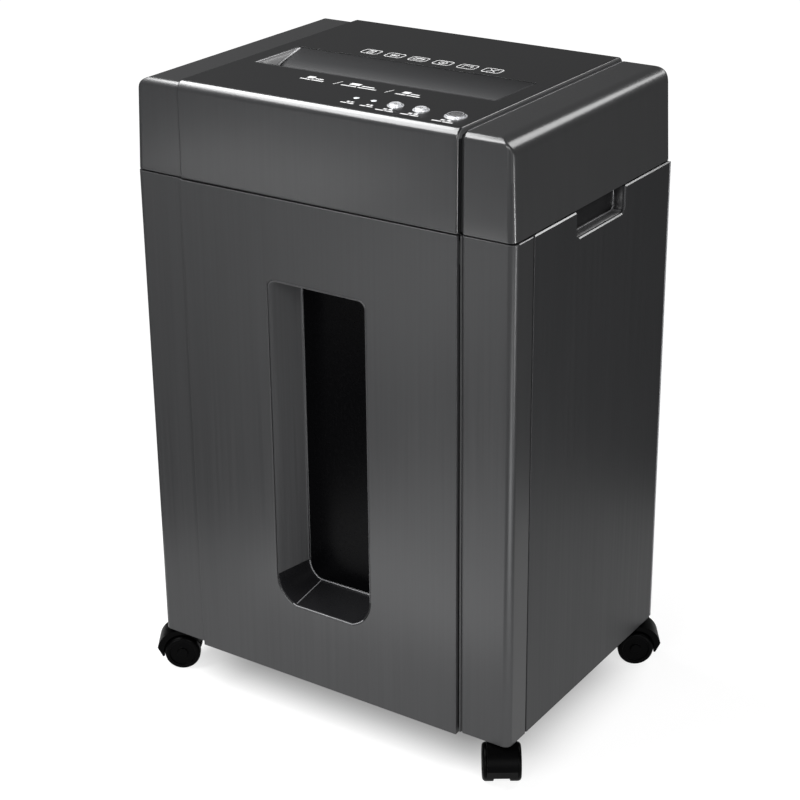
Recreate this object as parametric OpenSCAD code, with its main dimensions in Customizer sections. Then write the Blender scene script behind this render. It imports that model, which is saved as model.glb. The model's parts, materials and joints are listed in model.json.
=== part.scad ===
// Console paper shredder on castors: a cutting head with a sloped paper entry, a cabinet and a pull-out bin.
// Frame: origin on the floor under the middle of the cabinet, +X to the user's right, +Y to the back, +Z up.

/* [Body] */
// Width of the cabinet at the parting line
body_w = 360; // [350:1:370]
// Depth of the cabinet
body_d = 254; // [250:1:260]
// Height of the cabinet's lower edge above the floor
cabinet_z = 38; // [38:0.5:42]
// Height of the line between cabinet and head
parting_z = 470; // [468:1:474]
// Height of the end caps' flat tops
cap_top = 548; // [547:0.5:550]
// Thickness of the moulded walls
wall = 2.5; // [2:0.1:2.8]
// How far the middle panels stand in front of the corner strips
proud = 2.5; // [2:0.1:3]
// Width of the middle panels, which are the top cover and the drawer front
middle_w = 263; // [261:1:264]

/* [Paper entry] */
// Width of the paper throat
throat_w = 227; // [222:1:227]
// Width of the slot at the bottom of the ramp
slot_gap = 6; // [5:0.5:7]
// Front edge of the entry recess
entry_front = -46; // [-47:0.5:-45]
// Back edge of the entry recess
entry_back = 12.5; // [11:0.5:14]
// Height lost by the upper ramp for each millimetre towards the slot
ramp_slope = 0.25; // [0.2:0.01:0.3]
// Where the ramp steepens on its way to the slot
shoulder_y = -20; // [-22:0.5:-18]

/* [Window] */
// Width of the window pocket at the drawer's face
window_w = 96; // [90:1:100]
// Lower edge of the window pocket
window_z0 = 107; // [100:1:115]
// Upper edge of the window pocket
window_z1 = 400; // [390:1:405]
// Depth of the window pocket, which is also the drawer's grip
pocket_depth = 40; // [34:1:44]

/* [Cutters] */
// Outer radius of the cutting discs
disc_r = 19.5; // [19:0.1:19.8]
// Radius of the cutters between the discs
core_r = 14; // [12:0.1:14.5]
// Distance between the two cutter axes
cutter_span = 35; // [34.5:0.5:35]
// Thickness of one cutting disc
disc_t = 3.8; // [3.6:0.1:3.8]
// Distance from one disc to the next
disc_pitch = 8.4; // [8.3:0.1:8.4]
// Number of discs on each cutter
disc_count = 26; // [20:1:26]
// Tooth flutes cut along each cutter
flute_count = 6; // [3:1:8]

/* [Gears] */
// Gear module, which is pitch diameter over tooth count
gear_m = 1.5; // [1.5:0.1:1.5]
// Teeth on the drive gear
drive_teeth = 28; // [28:1:28]
// Teeth on the idler's large gear
idler_teeth = 32; // [32:1:32]
// Teeth on the idler's small gear and on the motor's pinion
pinion_teeth = 12; // [12:1:12]

/* [Castors] */
// Radius of the castor wheels
wheel_r = 16; // [15.5:0.1:16]
// Width of one castor wheel
wheel_w = 9.5; // [9:0.1:10]
// Distance from the stem to the axle, seen from above
castor_trail = 10; // [9:0.5:11]
// Distance of the stems from the middle, left and right
stem_x = 162; // [158:1:163]
// Distance of the stems from the middle, front and back
stem_y = 108; // [105:1:109]

/* [Hidden] */
$fn = 64;
half_w = body_w / 2;
half_d = body_d / 2;
half_m = middle_w / 2;
saddle_top = cap_top + proud;
cabinet_top = parting_z - 1;
eps = 0.5;                                // overshoot of a cutting tool

// Corner strip beside the middle panels
strip_in = half_m + 1.5;                  // inner edge of the corner strips
bead_w = 1.5;                             // raised bead along that edge
groove_w = 1.5;                           // groove beside the bead
groove_depth = 1.2;
post_depth = 27.5;                        // how far the corner post runs back along the side
corner_r = 6.5;
rear_r = 4;

// Cabinet
seam = 1;                                 // gap between corner post and side panel
flange = 12;                              // rear flange of a side panel
tray_z = 41;
tray_t = 4;
deck_z = 464;
boss_r = 9;
boss_h = 21;
socket_depth = 19.5;
tray_edge = 9.3;                          // how far the tray stays inside the side walls
leg_gap = 0.3;                            // gap around the corner posts' inner legs
leg_depth = 20;                           // how far those legs run back
stem_r = 4;
running = 0.06;                           // radial clearance of a running fit
seat = 0.02;                              // radial clearance of a fixed seat

// Hand cups below the parting line
cup_y0 = -33;
cup_y1 = 45.5;
cup_h = 22;
cup_depth = 11.5;
cup_wall = 2;

// Head
cap_draft = 4;                            // how far the caps lean in at the sides
cap_side_r = 14;
cap_edge_r = 6;
channel_depth = 3.5;                      // depth of the channel beside the top cover
channel_shelf = 8;                        // shelf of the cap under the top cover
chassis_z = 469.2;
chassis_t = 3;
chassis_top = chassis_z + chassis_t;

// Controls: x, y and radius of each button
power_at = [112, -100, 7];
forward_at = [80.5, -98.5, 4.8];
reverse_at = [57.5, -98.5, 4.8];
lamp_x = [20, 36];
lamp_y = -96;
lamp_r = 2.5;
ring_w = 1.5;
button_gap = 0.3;
board_z = 534;
switch_top = 540;
ring_z = saddle_top - 3;
cover_under = saddle_top - wall;

// Cutting unit
slot_y = entry_front + slot_gap / 2;      // middle of the paper path
ramp_drop = 28.5;                         // from the cover's top to the foot of the ramp
cutter_z = 496;
front_y = slot_y - cutter_span / 2;
rear_y = slot_y + cutter_span / 2;
plate_x = 115;                            // inner face of a side plate
plate_t = 3;
journal_r = 5;
bush_r = 8;
sync_teeth = 20;
sync_m = cutter_span / sync_teeth;
gear_x = plate_x + plate_t + 2;           // near face of the first gears
gear_w = 7;
gear_end = gear_x + gear_w + 0.5;         // where the cutters' gear ends stop
idler_angle = 25;
idler_span = (drive_teeth + pinion_teeth) * gear_m / 2;
idler_y = rear_y + idler_span * cos(idler_angle);
idler_z = cutter_z + idler_span * sin(idler_angle);
motor_y = idler_y + (idler_teeth + pinion_teeth) * gear_m / 2;
motor_z = idler_z;
motor_r = 29;
motor_len = 84;
idler_pin_r = 4;

// Bin
bin_half_w = 128.5;
bin_y0 = -124.5;
bin_y1 = 112;
bin_z0 = 47.8;
bin_z1 = 440;
front_z0 = cabinet_z - 2;
front_z1 = parting_z - 1;
front_t = 3;
front_y0 = -half_d - proud;               // face of the drawer
pocket_taper = 4;
pocket_wall = 1.5;
pocket_back = front_y0 + pocket_depth;

// Castors: side in x, side in y, and the way the fender points
castors = [
    ["fl", -1, -1, 213.8],
    ["fr",  1, -1, -56.2],
    ["rl", -1,  1, 123.8],
    ["rr",  1,  1, 33.8],
];
hood_w = 25;
web_w = 12.4;
axle_r = 2.5;

// Cord gland in the rear of the left end cap
gland_x = -152;
gland_z = 492;
gland_bore_r = 3.75;
gland_collar_r = 7;

// ---- Shared shapes ----

// Box from one corner to the opposite one.
module box(low, high) {
    translate(low) cube(high - low);
}

// Flat shape in Y and Z, drawn as [y, z], extruded along X from x0 to x1.
module along_x(x0, x1) {
    translate([x0, 0, 0]) rotate([90, 0, 90]) linear_extrude(x1 - x0) children();
}

// Flat shape in X and Z, drawn as [x, z], extruded along Y from y0 to y1.
module along_y(y0, y1) {
    translate([0, y1, 0]) rotate([90, 0, 0]) linear_extrude(y1 - y0) children();
}

// Cylinder along X.
module rod_x(x0, x1, y, z, r) {
    translate([x0, y, z]) rotate([0, 90, 0]) cylinder(r = r, h = x1 - x0);
}

// Cylinder along Y.
module rod_y(y0, y1, x, z, r) {
    translate([x, y1, z]) rotate([90, 0, 0]) cylinder(r = r, h = y1 - y0);
}

// Rectangle from low to high with one radius for the upper and one for the lower corners.
module round_rect(low, high, r_low, r_high) {
    difference() {
        translate(low) square(high - low);
        for (c = [[low.x, low.y, 1, 1, r_low], [high.x, low.y, -1, 1, r_low],
                  [low.x, high.y, 1, -1, r_high], [high.x, high.y, -1, -1, r_high]])
            if (c[4] > 0) corner_cut(c[0], c[1], c[2], c[3], c[4]);
    }
}

// What a fillet of radius r takes off the corner at x, y, whose solid lies towards dx, dy.
module corner_cut(x, y, dx, dy, r) {
    difference() {
        translate([dx > 0 ? x - eps : x - r, dy > 0 ? y - eps : y - r]) square(r + eps);
        translate([x + dx * r, y + dy * r]) circle(r);
    }
}

// Mirrors the right-hand piece for the left-hand side.
module on_side(side) {
    if (side < 0) mirror([1, 0, 0]) children();
    else children();
}

// ---- Gears ----

pressure = 20;
addendum = 0.85;
dedendum = 1.25;
backlash = 0.16;
function involute_angle(base, r) = r <= base ? 0 : sqrt(pow(r / base, 2) - 1) * 180 / PI - acos(base / r);
function polar(r, a) = [r * cos(a), r * sin(a)];

// Outline of one spur gear, with a tooth centred on angle 0.
function gear_points(teeth, m) =
    let (pitch = teeth * m / 2,
         base = pitch * cos(pressure),
         tip = pitch + addendum * m,
         root = pitch - dedendum * m,
         half = 90 / teeth - backlash / pitch * 90 / PI,
         start = max(base, root),
         radii = [for (i = [0:4]) start + (tip - start) * i / 4],
         flank = [for (r = radii) half + involute_angle(base, pitch) - involute_angle(base, r)])
    [for (t = [0:teeth - 1])
        let (a = t * 360 / teeth)
        each concat(
            [polar(root, a - flank[0] - 1)],
            [for (i = [0:4]) polar(radii[i], a - flank[i])],
            [for (i = [4:-1:0]) polar(radii[i], a + flank[i])],
            [polar(root, a + flank[0] + 1)])];

// Spur gear along X, turned so that a tooth points at angle phase. A bore radius of 0 leaves it solid.
module gear_x(x0, x1, y, z, teeth, m, bore_r, phase) {
    translate([0, y, z]) along_x(x0, x1) rotate(phase) difference() {
        polygon(gear_points(teeth, m));
        if (bore_r > 0) circle(bore_r);
    }
}

// ---- Cabinet ----

// Plan of the right-hand corner post: face strip, rounded corner, side leg and inner return.
module post_plan() {
    difference() {
        union() {
            difference() {
                translate([strip_in, -half_d]) square([half_w - strip_in, post_depth]);
                corner_cut(half_w, -half_d, -1, 1, corner_r);
                difference() {
                    translate([strip_in + wall, -half_d + wall])
                        square([half_w - strip_in - 2 * wall, post_depth]);
                    corner_cut(half_w - wall, -half_d + wall, -1, 1, corner_r - wall);
                }
            }
            translate([half_w - 9, -half_d + post_depth - 1.5]) square([9, 1.5]);
        }
        translate([strip_in + bead_w, -half_d - eps]) square([groove_w, groove_depth + eps]);
        translate([strip_in - eps, -half_d + leg_depth]) square([wall + 2 * eps, post_depth]);
    }
}

module corner_post(side) {
    color("#4a4b4d") on_side(side)
        translate([0, 0, cabinet_z]) linear_extrude(cabinet_top - cabinet_z) post_plan();
}

// Plan of the right-hand side panel, with a stiffening return in front and a flange behind.
module side_plan() {
    y0 = -half_d + post_depth + seam;
    difference() {
        translate([half_w - flange, y0]) square([flange, half_d - y0]);
        corner_cut(half_w, half_d, -1, -1, rear_r);
        translate([half_w - flange - eps, y0 + 1.5])
            square([flange + eps - wall, half_d - wall - y0 - 1.5]);
        translate([half_w - flange - eps, y0 - eps]) square([flange + eps - 8, wall]);
    }
}

// Outline of the hand notch in Y and Z, open at the top.
module notch_outline(grow) {
    round_rect([cup_y0 - grow, cabinet_top - cup_h - grow], [cup_y1 + grow, parting_z + 2], 5, 0);
}

module side_panel(side) {
    color("#48494b") on_side(side) difference() {
        translate([0, 0, cabinet_z]) linear_extrude(cabinet_top - cabinet_z) side_plan();
        along_x(half_w - wall - eps, half_w + eps) notch_outline(0);
        for (z = screw_z) rod_y(half_d - wall - eps, half_d + eps, half_w - 7.5, z, screw_r + 0.1);
    }
}

module hand_cup(side) {
    x1 = half_w - wall;
    x0 = half_w - cup_depth - cup_wall;
    color("#2c2c2d") on_side(side) difference() {
        along_x(x0, x1)
            round_rect([cup_y0 - cup_wall, cabinet_top - cup_h - cup_wall],
                       [cup_y1 + cup_wall, chassis_z - 1], 6, 0);
        along_x(x0 + cup_wall, x1 + eps) notch_outline(0);
    }
}

screw_r = 1.5;
screw_z = [70, 255, 440];
screw_head_r = 3.4;

module rear_panel() {
    x1 = half_w - wall - 0.5;
    y1 = half_d - wall;
    color("#3d3e40") difference() {
        box([-x1, y1 - 2, tray_z + tray_t + 0.2], [x1, y1, cabinet_top - 0.5]);
        for (s = [-1, 1], z = screw_z) rod_y(y1 - 2 - eps, y1 + eps, s * (half_w - 7.5), z, screw_r + 0.1);
        for (i = [-5:5]) box([i * 14 - 2.5, y1 - 3, 400], [i * 14 + 2.5, y1 + 1, 432]);
    }
}

// Room for the inner legs of both corner posts.
module leg_slots(z0, z1) {
    for (s = [-1, 1]) on_side(s)
        box([strip_in - leg_gap, -half_d - eps, z0],
            [strip_in + wall + leg_gap, -half_d + leg_depth + leg_gap, z1]);
}

// Floor of the cabinet: a ribbed tray with a bored boss for each castor stem.
module base_tray() {
    x1 = half_w - tray_edge;
    y0 = -half_d + wall + 0.3;
    y1 = half_d - wall - 0.3;
    color("#1d1d1e") difference() {
        union() {
            translate([0, 0, tray_z]) linear_extrude(tray_t) round_rect([-x1, y0], [x1, y1], 3, 3);
            for (c = castors)
                translate([c[1] * stem_x, c[2] * stem_y, tray_z]) cylinder(r = boss_r, h = boss_h);
            box([-strip_in + 0.5, y0, tray_z], [strip_in - 0.5, y0 + 3, bin_z0 - 1.8]);
            for (x = [-60, 0, 60]) box([x - 1.5, y0 + 10, tray_z - 2], [x + 1.5, y1 - 10, tray_z]);
        }
        leg_slots(tray_z - 1, tray_z + tray_t + 1);
        for (c = castors) translate([c[1] * stem_x, c[2] * stem_y, tray_z - eps])
            cylinder(r = stem_r + running, h = socket_depth);
    }
}

module front_top_rail() {
    y0 = -half_d + 0.8;
    color("#1d1d1e") {
        box([-strip_in + 0.2, y0, 446], [strip_in - 0.2, y0 + 2.5, deck_z]);
        box([-strip_in + 0.2, y0 + 2.5, 446], [strip_in - 0.2, y0 + 14, 448.5]);
    }
}

// Opening below the cutters that the cut paper falls through.
module chute(z0, z1) {
    box([-112, front_y - disc_r - 3, z0], [112, rear_y + disc_r + 3, z1]);
}

// Frame across the top of the cabinet that the head stands on, open over the bin.
module deck_frame() {
    x1 = half_w - cup_depth - cup_wall - 1.5;
    color("#1d1d1e") difference() {
        translate([0, 0, deck_z]) linear_extrude(chassis_z - deck_z - 0.2)
            round_rect([-x1, -half_d + wall + 0.5], [x1, half_d - wall - 2.5], 4, 3);
        chute(deck_z - 1, parting_z);
        leg_slots(deck_z - 1, parting_z);
    }
}

// Two L-shaped rails that carry and guide the bin.
module drawer_runners() {
    color("#262627") for (side = [-1, 1]) on_side(side) {
        box([112, -106, tray_z + tray_t], [bin_half_w + 4.5, bin_y1 + 5, bin_z0 - 0.3]);
        box([bin_half_w + 1.2, -106, bin_z0 - 0.3], [bin_half_w + 4.5, bin_y1 + 5, 78]);
    }
}

// ---- Head ----

// Outer form of the right-hand end cap, made smaller by inset, from x0 outwards.
module cap_form(inset, x0, drop) {
    x1 = half_w - inset;
    top = cap_top - inset - drop;
    y1 = half_d - inset - drop;
    side_r = cap_side_r - inset;
    edge_r = cap_edge_r - inset;
    low = parting_z;
    lean = cap_draft * (1 - side_r / (top - low));
    intersection() {
        along_y(-y1 - 1, y1 + 1) union() {
            polygon([[x0, low], [x1, low], [x1 - lean, top - side_r], [x0, top - side_r]]);
            translate([x0, low]) square([x1 - lean - side_r - x0, top - low]);
            translate([x1 - lean - side_r, top - side_r]) circle(side_r);
        }
        along_x(x0, x1 + 1) round_rect([-y1, low], [y1, top], 0, edge_r);
        translate([0, 0, low - 1]) linear_extrude(top - low + 2) difference() {
            translate([x0, -y1]) square([x1 - x0, 2 * y1]);
            for (s = [-1, 1]) corner_cut(x1, s * y1, -1, -s, edge_r);
        }
    }
}

// End cap: a shell with a lowered shelf that runs under the edge of the top cover.
module end_cap(side) {
    shelf_x = strip_in + bead_w - channel_shelf;
    face_x = strip_in + bead_w;
    color("#4a4b4d") on_side(side) difference() {
        union() {
            cap_form(0, face_x, 0);
            cap_form(0, shelf_x, channel_depth);
        }
        difference() {
            translate([0, 0, -eps]) cap_form(wall, shelf_x - 1, 0);
            box([shelf_x - 2, -half_d, cap_top - wall - channel_depth], [face_x + wall, half_d, cap_top]);
            for (s = [-1, 1])
                box([shelf_x - 2, s > 0 ? half_d - wall - channel_depth : -half_d, parting_z - 1],
                    [face_x + wall, s > 0 ? half_d : -half_d + wall + channel_depth, cap_top]);
        }
        translate([0, 0, -1]) cap_form(wall, face_x + wall, 0);
        box([shelf_x - 1, -half_d + wall + channel_depth, parting_z - 1],
            [face_x + wall + 1, half_d - wall - channel_depth, cap_top - wall - channel_depth]);
        if (side < 0) rod_y(half_d - 12, half_d + 1, -gland_x, gland_z, gland_collar_r + 0.05);
        for (z = [484, 520]) rod_y(half_d - 6, half_d + eps, half_w - 14, z, screw_r + 0.1);
    }
}

// Band over the front, top and back: the profile in Y and Z between two insets.
module cover_outline(inset) {
    y1 = half_d + proud - inset;
    round_rect([-y1, parting_z + 0.1 - (inset > 0 ? 5 : 0)], [y1, saddle_top - inset], 0, 8 - inset);
}

// Top cover: a band over the front, top and back, with openings for the entry, buttons and lamps.
module top_cover() {
    color("#46474a") difference() {
        along_x(-half_m, half_m) cover_outline(0);
        along_x(-half_m + wall, half_m - wall) cover_outline(wall);
        box([-half_m - 1, -half_d + channel_depth - 3.3, parting_z - 1],
            [half_m + 1, half_d - channel_depth + 3.3, cap_top - channel_depth + 0.2]);
        box([-throat_w / 2 - 2.2, entry_front - 2.2, cap_top - 5],
            [throat_w / 2 + 2.2, entry_back + 2.2, saddle_top + 1]);
        for (b = [power_at, forward_at, reverse_at])
            translate([b.x, b.y, cap_top - 5]) cylinder(r = b[2] + button_gap + ring_w + 0.05, h = 10);
        for (x = lamp_x) translate([x, lamp_y, cap_top - 5]) cylinder(r = lamp_r + 0.05, h = 10);
        for (i = [-7:7]) box([i * 12 - 2, half_d - 1, 488], [i * 12 + 2, half_d + proud + 1, 524]);
    }
}

// Sloped paper entry: a ramp that falls gently from the back edge to a shoulder, and from there
// steeply to the slot by the front wall.
module entry_trough() {
    top = saddle_top;
    t = 2;
    slot_back = entry_front + slot_gap;
    shoulder_z = top - ramp_slope * (entry_back - shoulder_y);
    foot_z = top - ramp_drop;
    throat_z = 518;
    x1 = throat_w / 2;
    underside = [[entry_back + t, top - 2.4], [shoulder_y + 0.8, shoulder_z - 2.2],
                 [slot_back + t, foot_z - 1], [slot_back + t, throat_z]];
    color("#434447") {
        along_x(-x1, x1) {
            polygon(concat([[entry_back, top], [entry_back + t, top]], underside,
                           [[slot_back, throat_z], [slot_back, foot_z], [shoulder_y, shoulder_z]]));
            translate([entry_front - t, throat_z]) square([t, top - throat_z]);
        }
        for (s = [-1, 1]) along_x(s > 0 ? x1 : -x1 - t, s > 0 ? x1 + t : -x1)
            polygon(concat([[entry_front - t, throat_z], [entry_front - t, top], [entry_back + t, top]],
                           underside));
    }
}

module button_rings() {
    color("#c9cacc") for (b = [power_at, forward_at, reverse_at])
        translate([b.x, b.y, ring_z]) difference() {
            cylinder(r = b[2] + button_gap + ring_w, h = 3.5);
            translate([0, 0, -1]) cylinder(r = b[2] + button_gap, h = 6);
        }
}

// Push button: a chamfered cap, a retaining flange under its ring and a stem over its switch.
module push_button(b) {
    color("#d4d5d7") translate([b.x, b.y, 0]) {
        translate([0, 0, saddle_top - 5]) cylinder(r = b[2], h = 6.2);
        translate([0, 0, saddle_top + 1.2]) cylinder(r1 = b[2], r2 = b[2] - 0.8, h = 0.8);
        translate([0, 0, ring_z - 1.8]) cylinder(r = b[2] + 1.2, h = 1.5);
        translate([0, 0, switch_top + 1.2]) cylinder(r = 2, h = saddle_top - 5 - switch_top - 1.2);
    }
}

module indicator_lenses() {
    color("#e8eef2") for (x = lamp_x) translate([x, lamp_y, saddle_top - 4]) {
        cylinder(r = lamp_r, h = 4.3);
    }
}

// Circuit board under the buttons, with a key switch below each button and a lamp below each lens.
module control_board() {
    color("#1f6b43") box([8, -116, board_z], [126, -82, board_z + 1.6]);
    for (b = [power_at, forward_at, reverse_at]) color("#222222") {
        box([b.x - 3, b.y - 3, board_z + 1.6], [b.x + 3, b.y + 3, board_z + 4.8]);
        translate([b.x, b.y, board_z + 4.8]) cylinder(r = 1.7, h = switch_top - board_z - 4.8);
    }
    for (x = lamp_x) color("#d8f0d8") translate([x, lamp_y, board_z + 1.6]) cylinder(r = 1.5, h = 8);
    for (x = [12, 122]) color("#222222")
        translate([x, -86, board_z + 1.6]) cylinder(r = 2.4, h = cover_under - board_z - 1.6);
}

// Mains board behind the right-hand frame plate, with its larger parts.
module power_board() {
    z = chassis_top + 6;
    color("#1f6b43") box([20, 74, z], [110, 118, z + 1.6]);
    for (x = [26, 104], y = [79, 113]) color("#c8c8c8")
        translate([x, y, chassis_top]) cylinder(r = 2.5, h = 6);
    color("#1a4fa0") box([28, 84, z + 1.6], [47, 100, z + 17]);
    color("#222222") translate([60, 92, z + 1.6]) cylinder(r = 7, h = 24);
    color("#caa24a") box([72, 80, z + 1.6], [96, 104, z + 22]);
    color("#e8e8e8") box([30, 106, z + 1.6], [60, 114, z + 12]);
}

module paper_sensor() {
    color("#141414") {
        box([-5, entry_front - 8, 520], [5, entry_front - 2.1, 530]);
        box([-5, entry_front + slot_gap + 2.1, 515.4], [5, entry_front + slot_gap + 7, 519.4]);
    }
}

module bin_sensor() {
    color("#202020") box([50, bin_y1 - 4, deck_z - 10], [70, bin_y1 + 8, deck_z]);
}

// Soft bush that the mains lead passes through, with a flange outside and a lip inside.
module cord_gland() {
    color("#161616") translate([gland_x, half_d, gland_z]) rotate([90, 0, 0]) difference() {
        union() {
            translate([0, 0, -9]) cylinder(r1 = 6.2, r2 = 8.5, h = 6);
            translate([0, 0, -3]) cylinder(r = 10, h = 3);
            cylinder(r = gland_collar_r, h = wall);
            translate([0, 0, wall]) cylinder(r = 9, h = 3);
        }
        translate([0, 0, -10]) cylinder(r = gland_bore_r, h = 20);
    }
}

// One countersunk-free pan screw that points towards -Y.
module pan_screw(x, y, z, length) {
    translate([x, y, z]) rotate([90, 0, 0]) {
        translate([0, 0, -2.2]) difference() {
            cylinder(r = screw_head_r, h = 2.2);
            for (a = [0, 90]) rotate(a) translate([-2, -0.4, -0.2]) cube([4, 0.8, 1.2]);
        }
        cylinder(r = screw_r, h = length);
    }
}

module housing_screws() {
    color("#b9babb") for (s = [-1, 1]) {
        for (z = screw_z) pan_screw(s * (half_w - 7.5), half_d, z, 6);
        for (z = [484, 520]) pan_screw(s * (half_w - 14), half_d, z, 8);
    }
}

// Plate at the bottom of the head, open below the cutters.
module head_chassis() {
    color("#2a2a2b") difference() {
        translate([0, 0, chassis_z]) linear_extrude(chassis_t)
            round_rect([-half_w + wall + 2.5, -half_d + wall + channel_depth + 0.5],
                       [half_w - wall - 2.5, half_d - wall - channel_depth - 0.5], 4, 4);
        chute(chassis_z - 1, chassis_top + 1);
    }
}

// ---- Cutting unit ----

module bush_holes(x0, x1, r) {
    for (y = [front_y, rear_y]) rod_x(x0, x1, y, cutter_z, r);
}

rod_at = [[front_y - 29, 482], [front_y - 29, 508], [rear_y + 24, 479], [rear_y + 21, 517]];
rod_r = 3.5;
plate_cut_z = 516.5;                      // where the plates stop below the entry's slot
plate_cut_rise = 29.2;                    // how much further up they reach behind the entry

// Side plate of the cutting unit. The left one also carries the idler and the motor.
module frame_plate(side) {
    x0 = side > 0 ? plate_x : -plate_x - plate_t;
    y1 = side > 0 ? rear_y + 30 : motor_y + motor_r + 4;
    color("#9a9c9f") difference() {
        along_x(x0, x0 + plate_t) round_rect([front_y - 35, chassis_top], [y1, 540], 0, 5);
        bush_holes(x0 - eps, x0 + plate_t + eps, bush_r + seat);
        along_x(x0 - eps, x0 + plate_t + eps)
            polygon([[front_y - 36, plate_cut_z], [slot_y + 7, plate_cut_z],
                     [entry_back + 6, plate_cut_z + plate_cut_rise],
                     [entry_back + 6, 560], [front_y - 36, 560]]);
        for (p = rod_at) rod_x(x0 - eps, x0 + plate_t + eps, p[0], p[1], 2.6);
        if (side < 0) {
            rod_x(x0 - eps, x0 + plate_t + eps, motor_y, motor_z, 6);
            rod_x(x0 - eps, x0 + plate_t + eps, idler_y, idler_z, idler_pin_r + seat);
        }
    }
}

// Four shouldered tie rods between the plates, and the idler's stub pin.
module frame_rods() {
    color("#c4c6c9") {
        for (p = rod_at) {
            rod_x(-plate_x, plate_x, p[0], p[1], rod_r);
            for (s = [-1, 1]) rod_x(s > 0 ? plate_x : -plate_x - plate_t - 1.5,
                                    s > 0 ? plate_x + plate_t + 1.5 : -plate_x, p[0], p[1], 2.5);
        }
        rod_x(-gear_x - 2 * gear_w - 2, -plate_x, idler_y, idler_z, idler_pin_r);
    }
}

// Plastic comb whose fingers reach into the grooves of one cutter.
module stripper_comb(axis_y, way) {
    finger_t = 3.4;
    first_x = first_disc(way);
    bar_y = axis_y + way * (disc_r + 2.2);
    color("#d9d6cc") {
        along_x(-112, 112) translate([way > 0 ? bar_y : bar_y - 2.5, cutter_z - 13]) square([2.5, 26]);
        for (i = [0:disc_count - 2])
            let (x = first_x + i * disc_pitch + disc_t + (disc_pitch - disc_t - finger_t) / 2)
            along_x(x, x + finger_t) difference() {
                translate([way > 0 ? axis_y : bar_y, cutter_z - 9]) square([disc_r + 2.2, 18]);
                translate([axis_y, cutter_z]) circle(core_r + 0.6);
            }
    }
}

module cutter_bushes() {
    color("#b08a3c") for (s = [-1, 1], y = [front_y, rear_y]) difference() {
        union() {
            rod_x(s > 0 ? plate_x - 1.5 : -plate_x - plate_t, s > 0 ? plate_x + plate_t : -plate_x + 1.5,
                  y, cutter_z, bush_r);
            rod_x(s > 0 ? plate_x - 3 : -plate_x + 0.1, s > 0 ? plate_x - 0.1 : -plate_x + 3,
                  y, cutter_z, bush_r + 2);
        }
        rod_x(s > 0 ? plate_x - 4 : -plate_x - 4, s > 0 ? plate_x + 5 : -plate_x + 4,
              y, cutter_z, journal_r + running);
    }
}

// Where the first disc of the front (-1) or the rear (1) cutter starts.
function first_disc(way) = -(disc_count - 1) * disc_pitch / 2 - disc_t / 2 + way * disc_pitch / 4;

// Radius steps of one cutter along X, as [r, x] points.
function disc_steps(x0) = [for (i = [0:disc_count - 1]) let (x = x0 + i * disc_pitch)
    each [[core_r, x], [disc_r, x], [disc_r, x + disc_t], [core_r, x + disc_t]]];

// One-piece cutter: journals, grooved roll and flutes that leave teeth on the discs.
module cutter(y, way, left_end, right_end) {
    roll = 111.5;
    color("#8d9094") translate([0, y, cutter_z]) difference() {
        rotate([0, 90, 0]) rotate_extrude() polygon(concat(
            [[0, left_end], [journal_r, left_end], [journal_r, -roll], [core_r, -roll]],
            disc_steps(first_disc(way)),
            [[core_r, roll], [journal_r, roll], [journal_r, right_end], [0, right_end]]));
        for (k = [0:flute_count - 1])
            along_x(-roll - 1, roll + 1) rotate(k * 360 / flute_count + 30)
                translate([disc_r - 2.2, 0]) polygon([[0, 0], [4, -0.4], [4, 3.4]]);
    }
}

module sync_gear(y, phase) {
    color("#b8babd")
        gear_x(gear_x, gear_x + gear_w, y, cutter_z, sync_teeth, sync_m, journal_r + seat, phase);
}

module drive_gear() {
    color("#b8babd") gear_x(-gear_x - gear_w, -gear_x, rear_y, cutter_z, drive_teeth, gear_m,
                            journal_r + seat, idler_angle);
}

// Compound gear: the small ring meets the drive gear and the large one meets the motor's pinion.
module idler_gear() {
    color("#e6e3d8") {
        gear_x(-gear_x - gear_w - 1, -gear_x, idler_y, idler_z, pinion_teeth, gear_m,
               idler_pin_r + running, idler_angle + 180 + 180 / pinion_teeth);
        gear_x(-gear_x - 2 * gear_w - 1, -gear_x - gear_w - 1, idler_y, idler_z, idler_teeth, gear_m,
               idler_pin_r + running, 0);
    }
}

// Motor armature shaft with its cut pinion at the left and a cooling fan at the right.
module motor_shaft() {
    fan_x = -plate_x + motor_len + 3;
    color("#c4c6c9") {
        gear_x(-gear_x - 2 * gear_w - 1, -gear_x - gear_w - 1, motor_y, motor_z, pinion_teeth, gear_m,
               0, 180 + 180 / pinion_teeth);
        rod_x(-gear_x - gear_w - 1.5, fan_x + 6, motor_y, motor_z, 3);
    }
    color("#202020") translate([0, motor_y, motor_z]) difference() {
        union() {
            rod_x(fan_x, fan_x + 6, 0, 0, 7);
            for (k = [0:6]) rotate([k * 360 / 7, 0, 0]) box([fan_x, -0.9, 6], [fan_x + 6, 0.9, 24]);
        }
        rod_x(fan_x - 1, fan_x + 7, 0, 0, 3);
    }
}

// Motor can with its end bells, bored for the shaft.
module motor_body() {
    x0 = -plate_x;
    color("#a7a9ac") difference() {
        union() {
            rod_x(x0, x0 + 8, motor_y, motor_z, 20);
            rod_x(x0 + 8, x0 + motor_len - 8, motor_y, motor_z, motor_r);
            rod_x(x0 + motor_len - 8, x0 + motor_len, motor_y, motor_z, 18);
        }
        rod_x(x0 - 1, x0 + motor_len + 1, motor_y, motor_z, 3 + running);
        for (k = [0:7]) translate([x0 + 60, motor_y, motor_z]) rotate([k * 45, 0, 0])
            box([0, -3, motor_r - 2], [10, 3, motor_r + 1]);
    }
}

module motor_bracket() {
    color("#8a8c8f") for (x = [-96, -52]) difference() {
        along_x(x, x + 4) translate([motor_y - 26, chassis_top]) square([52, 16]);
        rod_x(x - 1, x + 5, motor_y, motor_z, motor_r + 0.05);
    }
}

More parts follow.
